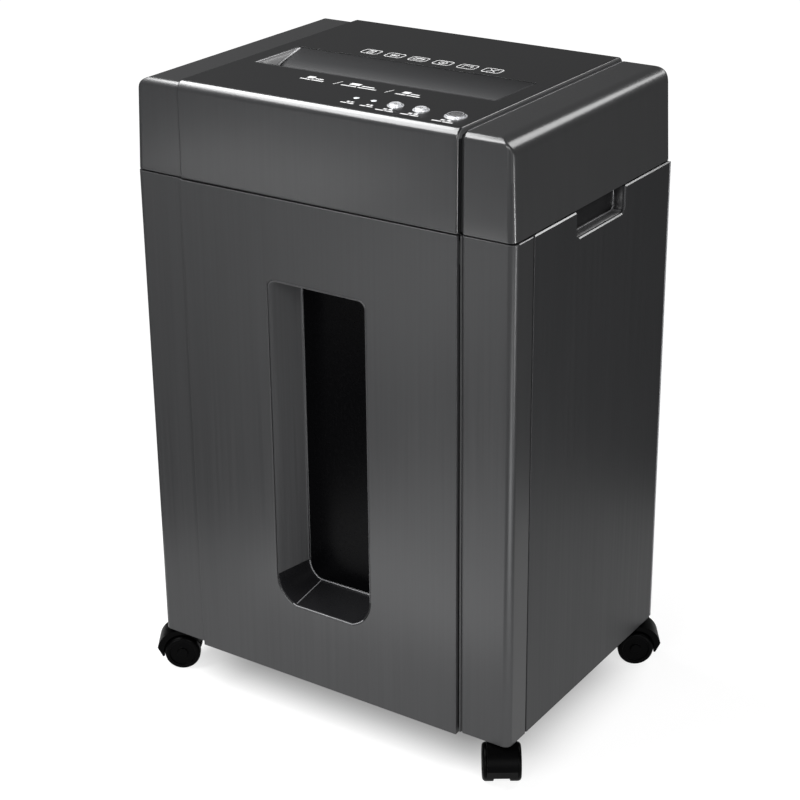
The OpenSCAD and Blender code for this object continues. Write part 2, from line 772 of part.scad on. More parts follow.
// Cover over the gear train at the left, open towards the plate.
module gear_cover() {
    x0 = -gear_x - 2 * gear_w - 5;
    x1 = -plate_x - plate_t;
    y0 = rear_y - 27;
    y1 = motor_y + 14;
    color("#303032") difference() {
        along_x(x0, x1) round_rect([y0, chassis_top], [y1, 538], 0, 8);
        along_x(x0 + 2, x1 + 1) round_rect([y0 + 2, chassis_top - 1], [y1 - 2, 536], 0, 6);
        along_x(x0 - 1, x1 + 1) translate([y0 - 1, 522]) square([12, 20]);
    }
}

// ---- Bin and drawer ----

// Window outline in X and Z at a share of the way into the pocket, grown outwards.
module window_outline(inward, grow) {
    t = pocket_taper * inward;
    round_rect([-window_w / 2 + t - grow, window_z0 + 1.25 * t - grow],
               [window_w / 2 - t + grow, window_z1 - t + grow],
               26 - 1.5 * t + grow, 7 - 0.3 * t + grow);
}

module drawer_front() {
    color("#4a4b4d") difference() {
        box([-half_m, front_y0, front_z0], [half_m, front_y0 + front_t, front_z1]);
        along_y(front_y0 - 1, front_y0 + front_t + 1) window_outline(0, 0);
    }
}

// Thin slice of the pocket's form, for lofting from the face to the back.
module pocket_slice(y, inward, grow) {
    translate([0, y, 0]) rotate([90, 0, 0]) linear_extrude(0.1) window_outline(inward, grow, $fn = 32);
}

// Pocket that frames the window and is the drawer's grip, open at front and back.
module window_pocket() {
    color("#3a3b3d") difference() {
        union() {
            hull() {
                pocket_slice(front_y0 + 0.3, 0, -0.15);
                pocket_slice(pocket_back, 1, 0);
            }
            translate([0, pocket_back, 0]) rotate([90, 0, 0]) linear_extrude(2)
                window_outline(1, 4, $fn = 32);
        }
        hull() {
            pocket_slice(front_y0 - 0.5, 0, -pocket_wall);
            pocket_slice(pocket_back + 0.5, 1, -pocket_wall);
        }
    }
}

module window_lens() {
    color("#101011") along_y(pocket_back, pocket_back + 2) window_outline(1, 3);
}

// Bin: an open tub with an opening in its front wall for the window pocket, and screw tabs to the front.
module bin_tub() {
    t = 2.5;
    color("#242425") difference() {
        union() {
            box([-bin_half_w, bin_y0, bin_z0], [bin_half_w, bin_y1, bin_z1]);
            for (s = [-1, 1], z = [90, 420])
                box([s * 100 - 10, front_y0 + front_t, z - 8], [s * 100 + 10, bin_y0 + 0.1, z + 8]);
        }
        box([-bin_half_w + t, bin_y0 + t, bin_z0 + t], [bin_half_w - t, bin_y1 - t, bin_z1 + 1]);
        along_y(bin_y0 - 1, bin_y0 + t + 1) window_outline(0.1, 0.6);
    }
}

module bin_magnet() {
    color("#55585c") box([54, bin_y1 - 2.5 - 5, bin_z1 - 12], [66, bin_y1 - 2.5, bin_z1 - 2]);
}

// ---- Castors ----
// Each castor is drawn with its stem on the Z axis and its fender towards +X, then turned and placed.

module place_castor(c) {
    translate([c[1] * stem_x, c[2] * stem_y, 0]) rotate(c[3]) children();
}

// Side view of the hood: what the fender covers, from the stem over the top to the lip.
module hood_side() {
    intersection() {
        translate([castor_trail + 2.5, 16.5]) circle(20.5);
        polygon([[castor_trail, wheel_r], [-9, 27], [-9, 45], [50, 45], [50, 22.8],
                 [castor_trail + 24, 22.8], [castor_trail + 18.2, 11.2]]);
    }
}

module castor_hood(c) {
    color("#0c0c0d") place_castor(c) difference() {
        union() {
            along_y(-hood_w / 2, hood_w / 2) hood_side();
            along_y(-web_w / 2, web_w / 2) translate([castor_trail, wheel_r]) circle(9);
            translate([0, 0, 20]) cylinder(r = 6.1, h = tray_z - 0.3 - 20);
        }
        for (s = [-1, 1]) rod_y(s > 0 ? web_w / 2 : -hood_w, s > 0 ? hood_w : -web_w / 2,
                                castor_trail, wheel_r, wheel_r + 1.2);
        rod_y(-hood_w, hood_w, castor_trail, wheel_r, axle_r + running);
        translate([0, 0, 24]) cylinder(r = stem_r + seat, h = 20);
    }
}

module castor_stem(c) {
    color("#b9babb") place_castor(c) {
        translate([0, 0, 24]) cylinder(r = stem_r, h = 34);
        translate([0, 0, 58]) cylinder(r1 = stem_r, r2 = 2.8, h = 1.5);
    }
}

// Outline of one wheel from its inner face outwards, as [radius, distance from the castor's middle].
function wheel_outline(inner) = [
    [axle_r, inner], [wheel_r - 1, inner], [wheel_r, inner + 1], [wheel_r, inner + wheel_w - 3.5],
    for (a = [15:15:90]) [wheel_r - 3 + 3 * cos(a), inner + wheel_w - 3.5 + 3 * sin(a)],
    [10.5, inner + wheel_w - 0.5], [9.8, inner + wheel_w - 2], [5.2, inner + wheel_w - 2],
    [4.6, inner + wheel_w], [axle_r, inner + wheel_w],
];

// Twin wheels pressed on the ends of one axle.
module castor_wheels(c) {
    inner = web_w / 2 + 0.5;
    color("#111112") place_castor(c) translate([castor_trail, 0, wheel_r])
        for (a = [90, -90]) rotate([a, 0, 0]) rotate_extrude() polygon(wheel_outline(inner));
    color("#9a9c9f") place_castor(c) rod_y(-inner - wheel_w, inner + wheel_w, castor_trail, wheel_r, axle_r);
}

// ---- Assembly ----

base_tray();
side_panel(-1);  // left_side_panel
side_panel(1);  // right_side_panel
rear_panel();
corner_post(-1);  // left_corner_post
corner_post(1);  // right_corner_post
front_top_rail();
deck_frame();
hand_cup(-1);  // left_hand_cup
hand_cup(1);  // right_hand_cup
drawer_runners();
head_chassis();
end_cap(-1);  // left_end_cap
end_cap(1);  // right_end_cap
top_cover();
entry_trough();
button_rings();
indicator_lenses();
control_board();
power_board();
paper_sensor();
bin_sensor();
cord_gland();
housing_screws();
frame_plate(-1);  // left_frame_plate
frame_plate(1);  // right_frame_plate
frame_rods();
stripper_comb(front_y, -1);  // front_stripper_comb
stripper_comb(rear_y, 1);  // rear_stripper_comb
cutter_bushes();
motor_body();
motor_bracket();
gear_cover();
cutter(front_y, -1, -plate_x - plate_t, gear_end);  // front_cutter
cutter(rear_y, 1, -gear_end, gear_end);  // rear_cutter
sync_gear(front_y, 180 / sync_teeth);  // front_sync_gear
sync_gear(rear_y, 180);  // rear_sync_gear
drive_gear();
idler_gear();
motor_shaft();
push_button(power_at);  // power_button
push_button(forward_at);  // forward_button
push_button(reverse_at);  // reverse_button
drawer_front();
window_pocket();
window_lens();
bin_tub();
bin_magnet();
for (c = castors) {
    castor_hood(c);
    castor_stem(c);
    castor_wheels(c);
}
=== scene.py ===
"""Looks of the paper shredder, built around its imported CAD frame. Metres, in the frame's own axes:
+X to the user's right, +Y to the back, +Z up, floor at z = 0."""

import json
import math
from collections import namedtuple

import bmesh
import bpy
from mathutils import Matrix, Vector


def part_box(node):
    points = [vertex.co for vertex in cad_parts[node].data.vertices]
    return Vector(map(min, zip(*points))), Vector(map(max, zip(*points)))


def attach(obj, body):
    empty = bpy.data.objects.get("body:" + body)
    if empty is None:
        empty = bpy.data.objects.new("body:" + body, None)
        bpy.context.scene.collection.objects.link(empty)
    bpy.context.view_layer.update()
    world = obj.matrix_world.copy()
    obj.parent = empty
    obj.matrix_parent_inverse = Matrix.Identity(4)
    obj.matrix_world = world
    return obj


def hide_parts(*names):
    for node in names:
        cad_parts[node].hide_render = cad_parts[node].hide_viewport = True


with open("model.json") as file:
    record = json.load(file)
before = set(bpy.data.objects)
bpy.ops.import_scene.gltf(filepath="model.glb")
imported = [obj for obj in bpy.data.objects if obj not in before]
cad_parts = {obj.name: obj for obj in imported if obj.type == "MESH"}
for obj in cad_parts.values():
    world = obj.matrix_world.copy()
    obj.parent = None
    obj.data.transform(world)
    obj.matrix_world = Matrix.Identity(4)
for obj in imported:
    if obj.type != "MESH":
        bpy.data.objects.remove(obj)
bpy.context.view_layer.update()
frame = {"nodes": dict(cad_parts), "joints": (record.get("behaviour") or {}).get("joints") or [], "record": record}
MM = 0.001

# ---- Sizes, read from the frame ----

post_low, post_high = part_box("right_corner_post")
panel_low, panel_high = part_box("right_side_panel")
cap_low, cap_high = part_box("right_end_cap")
cover_low, cover_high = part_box("top_cover")
front_low, front_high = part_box("drawer_front")
pocket_low, pocket_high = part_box("window_pocket")
trough_low, trough_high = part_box("entry_trough")
cup_low, cup_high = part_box("right_hand_cup")
rear_low, rear_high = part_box("rear_panel")

HALF_W = panel_high.x
HALF_D = panel_high.y
CABINET_Z = panel_low.z
CABINET_TOP = panel_high.z
CAP_TOP = cap_high.z
COVER_TOP = cover_high.z
FACE_Y = cover_low.y
STRIP_IN = post_low.x
SHEET = 2.5 * MM


# ---- Outlines ----

def rounded(corners, turn=10):
    """A closed outline from (x, y, radius) corners, each rounded by its radius, with a point every
    `turn` degrees."""
    outline = []
    count = len(corners)
    for i, (x, y, r) in enumerate(corners):
        here = Vector((x, y))
        if r <= 0:
            outline.append(here)
            continue
        before = (Vector(corners[i - 1][:2]) - here).normalized()
        after = (Vector(corners[(i + 1) % count][:2]) - here).normalized()
        half = before.angle(after) / 2
        reach = r / math.tan(half)
        centre = here + (before + after).normalized() * (r / math.sin(half))
        start = here + before * reach - centre
        sweep = math.pi - 2 * half
        sign = 1 if before.cross(after) < 0 else -1
        steps = max(2, round(math.degrees(sweep) / turn))
        for k in range(steps + 1):
            outline.append(centre + Matrix.Rotation(sign * sweep * k / steps, 2) @ start)
    return outline


def offset(loop, inset):
    """The loop moved to the left of its travel by inset, which is into the material."""
    moved = []
    for i, here in enumerate(loop):
        a = (here - loop[i - 1]).normalized()
        b = (loop[(i + 1) % len(loop)] - here).normalized()
        left_a, left_b = Vector((-a.y, a.x)), Vector((-b.y, b.x))
        moved.append(here + (left_a + left_b) / (1 + left_a.dot(left_b)) * inset)
    return moved


def circle(x, y, r, count=48):
    """A circle that is travelled clockwise, as holes are."""
    return [Vector((x + r * math.cos(-a), y + r * math.sin(-a)))
            for a in (2 * math.pi * k / count for k in range(count))]


def clockwise(loop):
    return list(reversed(loop))


def rectangle(x0, y0, x1, y1, r):
    return rounded([(x0, y0, r), (x1, y0, r), (x1, y1, r), (x0, y1, r)])


Span = namedtuple("Span", "start run here heading r sweep")    # a straight or curved stretch of a fold


class Fold:
    """A line with rounded corners in a plane, along which a flat sheet is wrapped.
    The sheet's face looks to the left of the travel."""

    def __init__(self, corners, turn=9):
        self.parts = []
        self.cuts = []
        here = Vector(corners[0][:2])
        length = 0.0
        for i in range(1, len(corners)):
            corner = Vector(corners[i][:2])
            r = corners[i][2]
            heading = (corner - here).normalized()
            if i == len(corners) - 1:
                self.parts.append(Span(length, (corner - here).length, here, heading, 0.0, 0.0))
                length += (corner - here).length
                break
            leaving = (Vector(corners[i + 1][:2]) - corner).normalized()
            sweep = heading.angle_signed(leaving)  # positive turns right, as mathutils counts it
            reach = r * math.tan(abs(sweep) / 2)
            run = (corner - here).length - reach
            self.parts.append(Span(length, run, here, heading, 0.0, 0.0))
            length += run
            start = here + heading * run
            arc = r * abs(sweep)
            self.parts.append(Span(length, arc, start, heading, r, sweep))
            steps = max(2, round(math.degrees(abs(sweep)) / turn))
            self.cuts += [length + arc * k / steps for k in range(steps + 1)]
            length += arc
            here = corner + leaving * reach
        self.length = length

    def straight(self, axis):
        """The first straight stretch that runs square to an axis of the fold's plane."""
        return next(part for part in self.parts if part.r == 0 and abs(part.heading[axis]) < 1e-6)

    def at(self, s):
        """The point at length s and the direction that the face looks in."""
        for start, run, here, heading, r, sweep in self.parts:
            if s <= start + run or (start, run) == self.parts[-1][:2]:
                break
        left = Vector((-heading.y, heading.x))
        if r == 0:
            return here + heading * (s - start), left
        side = 1 if sweep > 0 else -1
        centre = here - left * r * side
        turned = Matrix.Rotation(-sweep * (s - start) / run, 2)
        return centre + turned @ (left * r * side), turned @ left


# ---- Meshes ----

def belt(bm, r0, r1):
    """Faces between two closed rings of vertices."""
    for i in range(len(r0)):
        bm.faces.new((r0[i - 1], r0[i], r1[i], r1[i - 1]))


def sheet_mesh(outer, holes, depth, fillet, hole_fillet=None, back_fillet=0.0, steps=4):
    """A closed plate as a bmesh in (u, v, w), where w is the depth behind the face, with rounded edges."""
    bm = bmesh.new()
    fronts, backs = [], []
    quarter = [math.pi / 2 * k / steps for k in range(steps + 1)]
    for loop in [outer] + holes:
        r = fillet if loop is outer or hole_fillet is None else hole_fillet
        rings = [(r * (1 - math.cos(a)), r * (1 - math.sin(a))) for a in reversed(quarter)]
        if back_fillet > 0:
            rings += [(back_fillet * (1 - math.cos(a)), depth - back_fillet * (1 - math.sin(a)))
                      for a in quarter]
        else:
            rings.append((0.0, depth))
        previous = None
        for inset, w in rings:
            ring = [bm.verts.new((p.x, p.y, w)) for p in offset(loop, inset)]
            if previous:
                belt(bm, previous, ring)
            else:
                fronts.append(ring)
            previous = ring
        backs.append(previous)
    for loops in (fronts, backs):
        edges = [bm.edges.get((ring[i - 1], ring[i])) for ring in loops for i in range(len(ring))]
        bmesh.ops.triangle_fill(bm, use_beauty=True, edges=edges)
    return bm


def cut_at(bm, axis, values):
    """Adds edges across the mesh at each value of one coordinate, so that it can bend there."""
    for value in values:
        point, normal = Vector((0, 0, 0)), Vector((0, 0, 0))
        point[axis] = value
        normal[axis] = 1
        bmesh.ops.bisect_plane(bm, geom=bm.verts[:] + bm.edges[:] + bm.faces[:], dist=1e-7,
                               plane_co=point, plane_no=normal)


def wrapped_sheet(outer, holes, depth, fillet, fold, place, hole_fillet=None, steps=4):
    """A sheet drawn flat in (s, v) and wrapped along a fold. place(p, v) puts a folded point in space."""
    bm = sheet_mesh(outer, holes, depth, fillet, hole_fillet, steps=steps)
    cut_at(bm, 0, fold.cuts)
    for vert in bm.verts:
        s, v, w = vert.co
        point, face = fold.at(s)
        vert.co = place(point - face * w, v)
    return bm


def lathe(profile, count=64):
    """A closed turned form about Z as a bmesh, from (radius, height) points. A radius of 0 closes it."""
    bm = bmesh.new()
    rows = []
    for r, z in profile:
        if r <= 0:
            rows.append([bm.verts.new((0, 0, z))] * count)
        else:
            rows.append([bm.verts.new((r * math.cos(2 * math.pi * k / count),
                                       r * math.sin(2 * math.pi * k / count), z)) for k in range(count)])
    for low, high in zip(rows, rows[1:]):
        for k in range(count):
            corners = []
            for vert in (low[k - 1], low[k], high[k], high[k - 1]):
                if vert not in corners:
                    corners.append(vert)
            bm.faces.new(corners)
    return bm


def linked(name, data):
    """A new object of the scene."""
    obj = bpy.data.objects.new(name, data)
    bpy.context.scene.collection.objects.link(obj)
    return obj


def piece(name, bm, material, body, nodes=(), move=None, sharp=32, other=None, others=None):
    """Makes the mesh an object that rides on a body, takes the given material and stands for nodes, whose CAD
    parts it hides.
    The faces that others(face) picks get the other material."""
    if move is not None:
        bmesh.ops.transform(bm, matrix=move, verts=bm.verts)
    bmesh.ops.remove_doubles(bm, verts=bm.verts, dist=1e-6)
    bmesh.ops.recalc_face_normals(bm, faces=bm.faces)
    if other is not None:
        for face in bm.faces:
            face.material_index = int(others(face))
    mesh = bpy.data.meshes.new(name)
    bm.to_mesh(mesh)
    bm.free()
    mesh.shade_smooth()
    mesh.set_sharp_from_angle(angle=math.radians(sharp))
    mesh.materials.append(material)
    if other is not None:
        mesh.materials.append(other)
    obj = linked(name, mesh)
    flats = obj.modifiers.new("flats", "WEIGHTED_NORMAL")
    flats.keep_sharp = True
    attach(obj, body)
    if nodes:
        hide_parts(*nodes)
    return obj


def mirrored(side):
    return Matrix.Scale(-1, 4, Vector((1, 0, 0))) if side < 0 else Matrix.Identity(4)


def soften(obj, width, angle):
    """Rounds the edges that turn by more than an angle in degrees."""
    bevel = obj.modifiers.new("soften", "BEVEL")
    bevel.width = width
    bevel.segments = 3
    bevel.limit_method = "ANGLE"
    bevel.angle_limit = math.radians(angle)
    return bevel


def thicken(obj, thickness):
    """Gives an open surface a wall, outward from it."""
    skin = obj.modifiers.new("skin", "SOLIDIFY")
    skin.thickness = thickness
    skin.offset = 1
    return skin


def upright(y):
    """Stands a flat sheet up, facing the front, with its face at a depth y."""
    return Matrix(((1, 0, 0, 0), (0, 0, 1, y), (0, 1, 0, 0), (0, 0, 0, 1)))


def bridge(bm, rows):
    """Faces between rows of vertices, and one over the last row."""
    for r0, r1 in zip(rows, rows[1:]):
        for i in range(len(r0) - 1):
            bm.faces.new((r0[i], r0[i + 1], r1[i + 1], r1[i]))
    bm.faces.new(rows[-1])


def painted_highlight_piece(name, bm, material, body, side=1):
    """A piece that is only a thin pale line along an edge: a painted highlight."""
    piece(name, bm, material, body, move=mirrored(side), sharp=80)


# ---- Materials ----

def wire(node, inputs):
    """Sets a node's inputs to values, or links them to the outputs of other nodes."""
    for name, value in inputs.items():
        if isinstance(value, bpy.types.NodeSocket):
            node.id_data.links.new(value, node.inputs[name])
        else:
            node.inputs[name].default_value = value
    return node


def add_node(tree, kind, inputs):
    return wire(tree.nodes.new("ShaderNode" + kind), inputs)


def surface(name, color, rough, metallic=0.0, mottle=0.06, cloud=0.06, grain=1400, stretch=(1, 1, 1),
            bump=0.0, rough_swing=0.05, coat=0.0, coat_rough=0.1, specular=0.5):
    """A moulded, painted or metal surface: grain and larger clouds in its colour, gloss and relief."""
    mat = bpy.data.materials.new(name)
    mat.use_nodes = True
    tree = mat.node_tree
    where = add_node(tree, "TexCoord", {}).outputs["Object"]
    stretched = add_node(tree, "Mapping", {"Vector": where, "Scale": stretch}).outputs["Vector"]
    fine = add_node(tree, "TexNoise", {"Vector": stretched, "Scale": grain, "Detail": 3.0}).outputs["Fac"]
    large = add_node(tree, "TexNoise", {"Vector": where, "Scale": 7.0, "Detail": 2.0}).outputs["Fac"]

    def blend(amount, first, second):
        mix = tree.nodes.new("ShaderNodeMix")
        mix.data_type = "RGBA"
        return wire(mix, {"Factor": amount, "A": first, "B": second}).outputs["Result"]

    def shade(change):
        return *(min(1.0, c * (1 + change)) for c in color), 1

    low = blend(fine, shade(-cloud - mottle * 2), shade(-cloud + mottle * 2))
    high = blend(fine, shade(cloud - mottle * 2), shade(cloud + mottle * 2))
    gloss = add_node(tree, "MapRange", {
        "Value": fine, "From Min": 0.3, "From Max": 0.7,
        "To Min": max(0.02, rough - rough_swing), "To Max": rough + rough_swing})
    shader = wire(tree.nodes["Principled BSDF"], {
        "Metallic": metallic, "Coat Weight": coat, "Coat Roughness": coat_rough,
        "Specular IOR Level": specular, "Base Color": blend(large, low, high),
        "Roughness": gloss.outputs["Result"]})
    if bump > 0:
        relief = add_node(tree, "Bump", {"Height": fine, "Strength": bump, "Distance": 0.1 * MM})
        wire(shader, {"Normal": relief.outputs["Normal"]})
    return mat


STREAKS = (1, 1, 0.012)    # grain drawn out along Z

front_paint = surface("front_paint", (0.050, 0.0505, 0.052), 0.32, metallic=0.4, mottle=0.07, cloud=0.05,
                      grain=420, stretch=STREAKS, bump=0.015, rough_swing=0.03, specular=0.35)
HEAD_FINISH = dict(rough=0.32, metallic=0.3, mottle=0.06, cloud=0.05, grain=420, stretch=STREAKS, bump=0.012,
                   rough_swing=0.03, specular=0.3, coat=0.8, coat_rough=0.17)
cap_paint = surface("cap_paint", (0.050, 0.0505, 0.052), **HEAD_FINISH)
# The head's finish in a tone set for how its front is lit, lighter than the cover's top and darker than the caps'
# tops: painted light and shade on the front faces.
head_front_painted_shading = surface("head_front_painted_shading", (0.036, 0.0365, 0.038), **HEAD_FINISH)
side_paint = surface("side_paint", (0.034, 0.0345, 0.036), 0.44, metallic=0.3, cloud=0.05, grain=420,
                     stretch=STREAKS, bump=0.015, rough_swing=0.04, specular=0.25)
cover_paint = surface("cover_paint", (0.017, 0.0174, 0.0186), 0.32, metallic=0.3, mottle=0.05, cloud=0.04,
                      bump=0.03, rough_swing=0.03, coat=1.0, coat_rough=0.13)
# A lighter grey for the cover's end walls along the channels: painted light on walls that lie in shade.
channel_painted_light = surface("channel_painted_light", (0.13, 0.131, 0.134), 0.4, mottle=0.05, bump=0.02)
ramp_paint = surface("ramp_paint", (0.034, 0.0345, 0.036), 0.55, metallic=0.1, cloud=0.05, bump=0.03,
                     rough_swing=0.04, specular=0.3)
# A pale paint for the entry's left end wall only: painted light.
end_wall_painted_light = surface("end_wall_painted_light", (0.40, 0.40, 0.405), 0.34, bump=0.04)
# The grey of recessed parts, set lighter to stand for the light that reaches into them: partly their own colour,
# partly painted light.
recess_grey_and_painted_light = surface("recess_grey_and_painted_light", (0.080, 0.0805, 0.083), 0.40, mottle=0.12, cloud=0.05, grain=500,
                       stretch=STREAKS, bump=0.04, rough_swing=0.06)
# Pale paints for thin tubes that stand for bright edge lines: painted highlights.
painted_highlight_grey = surface("painted_highlight_grey", (0.24, 0.24, 0.25), 0.30, bump=0.02)
painted_highlight_pale = surface("painted_highlight_pale", (0.62, 0.62, 0.63), 0.30, mottle=0.03, bump=0.02)
# A near-black gloss that stands for shade: painted shade on the drawer window's left fillet and on the pocket's
# lower bend and left rim.
painted_shade_black = surface("painted_shade_black", (0.010, 0.010, 0.011), 0.30, mottle=0.04, grain=1200, coat=0.15,
                      coat_rough=0.15, specular=0.3)
cup_plastic = surface("cup_plastic", (0.014, 0.014, 0.015), 0.42, mottle=0.1, grain=1200, bump=0.02,
                      specular=0.3)
edge_gloss = surface("edge_gloss", (0.05, 0.0505, 0.052), 0.24, metallic=0.3, mottle=0.05, grain=900,
                     rough_swing=0.02, coat=1.0, coat_rough=0.2)
black_plastic = surface("black_plastic", (0.012, 0.012, 0.013), 0.5, mottle=0.2, grain=2200, bump=0.2)
lens_plastic = surface("lens_plastic", (0.0015, 0.0015, 0.0018), 0.26, mottle=0.1, grain=300,
                       rough_swing=0.03, specular=0.04)
chrome = surface("chrome", (0.80, 0.81, 0.83), 0.28, metallic=0.45, mottle=0.015, grain=900, rough_swing=0.02)
button_grey = surface("button_grey", (0.11, 0.11, 0.115), 0.30, metallic=0.3, mottle=0.02, grain=900,
                      rough_swing=0.02)
lamp_white = surface("lamp_white", (0.85, 0.88, 0.9), 0.2, mottle=0.03, grain=2500, bump=0.02, coat=0.6)
print_white = surface("print_white", (0.80, 0.80, 0.80), 0.5, grain=3500, bump=0.05)
print_dark = surface("print_dark", (0.22, 0.22, 0.22), 0.5, mottle=0.1, grain=3500, bump=0.05)
castor_plastic = surface("castor_plastic", (0.0006, 0.0006, 0.0007), 0.38, mottle=0.2, grain=1200, bump=0.05,
                         rough_swing=0.06, specular=0.04)
rubber = surface("rubber", (0.012, 0.012, 0.012), 0.62, mottle=0.25, grain=1800, bump=0.3)
zinc = surface("zinc", (0.50, 0.51, 0.53), 0.34, metallic=1.0, mottle=0.08, cloud=0.1, grain=700, bump=0.08,
               rough_swing=0.1)
ground_steel = surface("ground_steel", (0.30, 0.305, 0.32), 0.28, metallic=1.0, mottle=0.1, grain=900,
                       stretch=(3, 0.3, 0.3), bump=0.12, rough_swing=0.1)
bronze = surface("bronze", (0.45, 0.29, 0.11), 0.45, metallic=1.0, mottle=0.12, grain=2600, bump=0.2)
nylon = surface("nylon", (0.70, 0.68, 0.61), 0.42, mottle=0.04, grain=900, bump=0.06)
solder_mask = surface("solder_mask", (0.02, 0.13, 0.05), 0.3, mottle=0.12, grain=600, bump=0.1, coat=0.4)
motor_can = surface("motor_can", (0.38, 0.39, 0.40), 0.36, metallic=1.0, mottle=0.08, grain=600,
                    stretch=(0.05, 1, 1), bump=0.06, rough_swing=0.08)

SLOT_MATERIALS = {
    "housing_front": front_paint, "side_sheet": side_paint, "cover_gloss": cover_paint,
    "recess_grey": recess_grey_and_painted_light, "black_plastic": black_plastic, "button_chrome": chrome,
    "smoked_lens": lens_plastic, "lamp_white": lamp_white, "castor_black": castor_plastic,
    "rubber_black": rubber, "zinc_steel": zinc, "cutter_steel": ground_steel, "bush_bronze": bronze,
    "nylon_white": nylon, "board_green": solder_mask, "motor_steel": motor_can,
}


def dress_frame():
    """Gives every CAD node the material of its slot."""
    slots = {s["node"]: s["material_slot"] for s in frame["record"]["subparts"]}
    for name, obj in frame["nodes"].items():
        obj.data.materials.clear()
        obj.data.materials.append(SLOT_MATERIALS[slots[name]])
        obj.data.shade_smooth()
        obj.data.set_sharp_from_angle(angle=math.radians(30))


# ---- Top cover ----

HEAD_LEAN = 1.2 * MM       # how far the head's front and back lean in
COVER_R = 8 * MM           # rounding of the cover's front and back edges
COVER_WALL = 3 * MM
SLIT_FOOT, SLIT_HEAD = 488 * MM, 524 * MM    # heights of the ventilation slits in the cover's back
SLIT_PITCH, SLIT_HALF = 12, 2             # mm
FRONT_TURN = -0.75         # faces that look further forward than this get the head front's painted shading


def cover_fold(inset=0.0):
    """The cover's section in (y, z), from the front's lower edge over the top to the back's."""
    y0, z0, top, r = FACE_Y + inset, cover_low.z, COVER_TOP - inset, COVER_R - inset
    return Fold([(y0, z0, 0), (y0 + HEAD_LEAN, top, r), (-y0 - HEAD_LEAN, top, r), (-y0, z0, 0)])


def make_cover():
    fold = cover_fold()
    top = fold.straight(1)
    back = fold.parts[-1]

    def over(y):
        """Length along the fold of a point on the flat top."""
        return top.start + (y - top.here.x)

    def place(p, v):
        return Vector((v, p.x, p.y))

    half = cover_high.x
    outer = rectangle(0, -half, fold.length, half, 1.2 * MM)
    gap = 0.1 * MM
    holes = [clockwise(rectangle(over(trough_low.y - gap), trough_low.x - gap,
                                 over(trough_high.y + gap), trough_high.x + gap, 1.5 * MM))]
    for x, y, r in BUTTONS.values():
        holes.append(circle(over(y), x, r + RING + 0.1 * MM))
    for x in LAMP_X:
        holes.append(circle(over(LAMP_Y), x, LAMP_R + 0.05 * MM, 24))
    for i in range(-7, 8):
        low = back.start + back.run - (SLIT_HEAD - cover_low.z)
        high = back.start + back.run - (SLIT_FOOT - cover_low.z)
        holes.append(clockwise(rectangle(low, (SLIT_PITCH * i - SLIT_HALF) * MM,
                                         high, (SLIT_PITCH * i + SLIT_HALF) * MM, 1.9 * MM)))
    parts = [wrapped_sheet(outer, holes, COVER_WALL, 1.3 * MM, fold, place, 0.02 * MM)]
    under = cover_fold(2.4 * MM)
    for low, high in ((-half, -half + 1.6 * MM), (half - 1.6 * MM, half)):
        parts.append(wrapped_sheet(rectangle(0, low, under.length, high, 0.2 * MM), [], 3.2 * MM, 0.1 * MM,
                                   under, place))

    # The cover's ends beside the channels get the lighter grey as painted light.
    def channel_end(face):
        return abs(face.normal.x) > 0.9 and face.calc_center_median().z > COVER_TOP - COVER_R

    shell = piece("top_cover_shell", join(parts), cover_paint, "cabinet", ["top_cover"],
                  other=channel_painted_light, others=channel_end)
    # The cover's front faces get the head front's painted shading, painted light against the cover's darker top.
    shell.data.materials.append(head_front_painted_shading)
    for face in shell.data.polygons:
        if face.normal.y < FRONT_TURN:
            face.material_index = 2


# ---- Controls ----

FLANGE = 1.2 * MM          # the push buttons' flange stands out by this much
RING = 1.8 * MM            # gap and width of the ring around a button
MARK_INK = 0.12 * MM


def read_button(node):
    low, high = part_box(node)
    return (low.x + high.x) / 2, (low.y + high.y) / 2, (high.x - low.x) / 2 - FLANGE


BUTTONS = {name: read_button(name + "_button") for name in ("power", "forward", "reverse")}
lamp_low, lamp_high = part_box("indicator_lenses")
LAMP_R = (lamp_high.y - lamp_low.y) / 2
LAMP_Y = (lamp_low.y + lamp_high.y) / 2
LAMP_X = [lamp_low.x + LAMP_R, lamp_high.x - LAMP_R]


def strip(points, width, thick, closed=False):
    """A flat line of printed ink as a bmesh: a ribbon along points in the XY plane, from z = 0 up."""
    bm = bmesh.new()
    pts = [Vector(p) for p in points]
    count = len(pts)
    sides = []
    for i, here in enumerate(pts):
        before = pts[i - 1] if closed or i > 0 else None
        after = pts[(i + 1) % count] if closed or i < count - 1 else None
        a = (here - before).normalized() if before is not None else (after - here).normalized()
        b = (after - here).normalized() if after is not None else a
        left_a, left_b = Vector((-a.y, a.x)), Vector((-b.y, b.x))
        reach = (left_a + left_b) / max(0.5, 1 + left_a.dot(left_b)) * width / 2
        sides.append([bm.verts.new((*(here + reach), 0)), bm.verts.new((*(here + reach), thick)),
                      bm.verts.new((*(here - reach), thick)), bm.verts.new((*(here - reach), 0))])
    last = count if closed else count - 1
    for i in range(last):
        a, b = sides[i], sides[(i + 1) % count]
        for k in range(4):
            bm.faces.new((a[k], a[(k + 1) % 4], b[(k + 1) % 4], b[k]))
    if not closed:
        bm.faces.new(sides[0])
        bm.faces.new(sides[-1])
    return bm


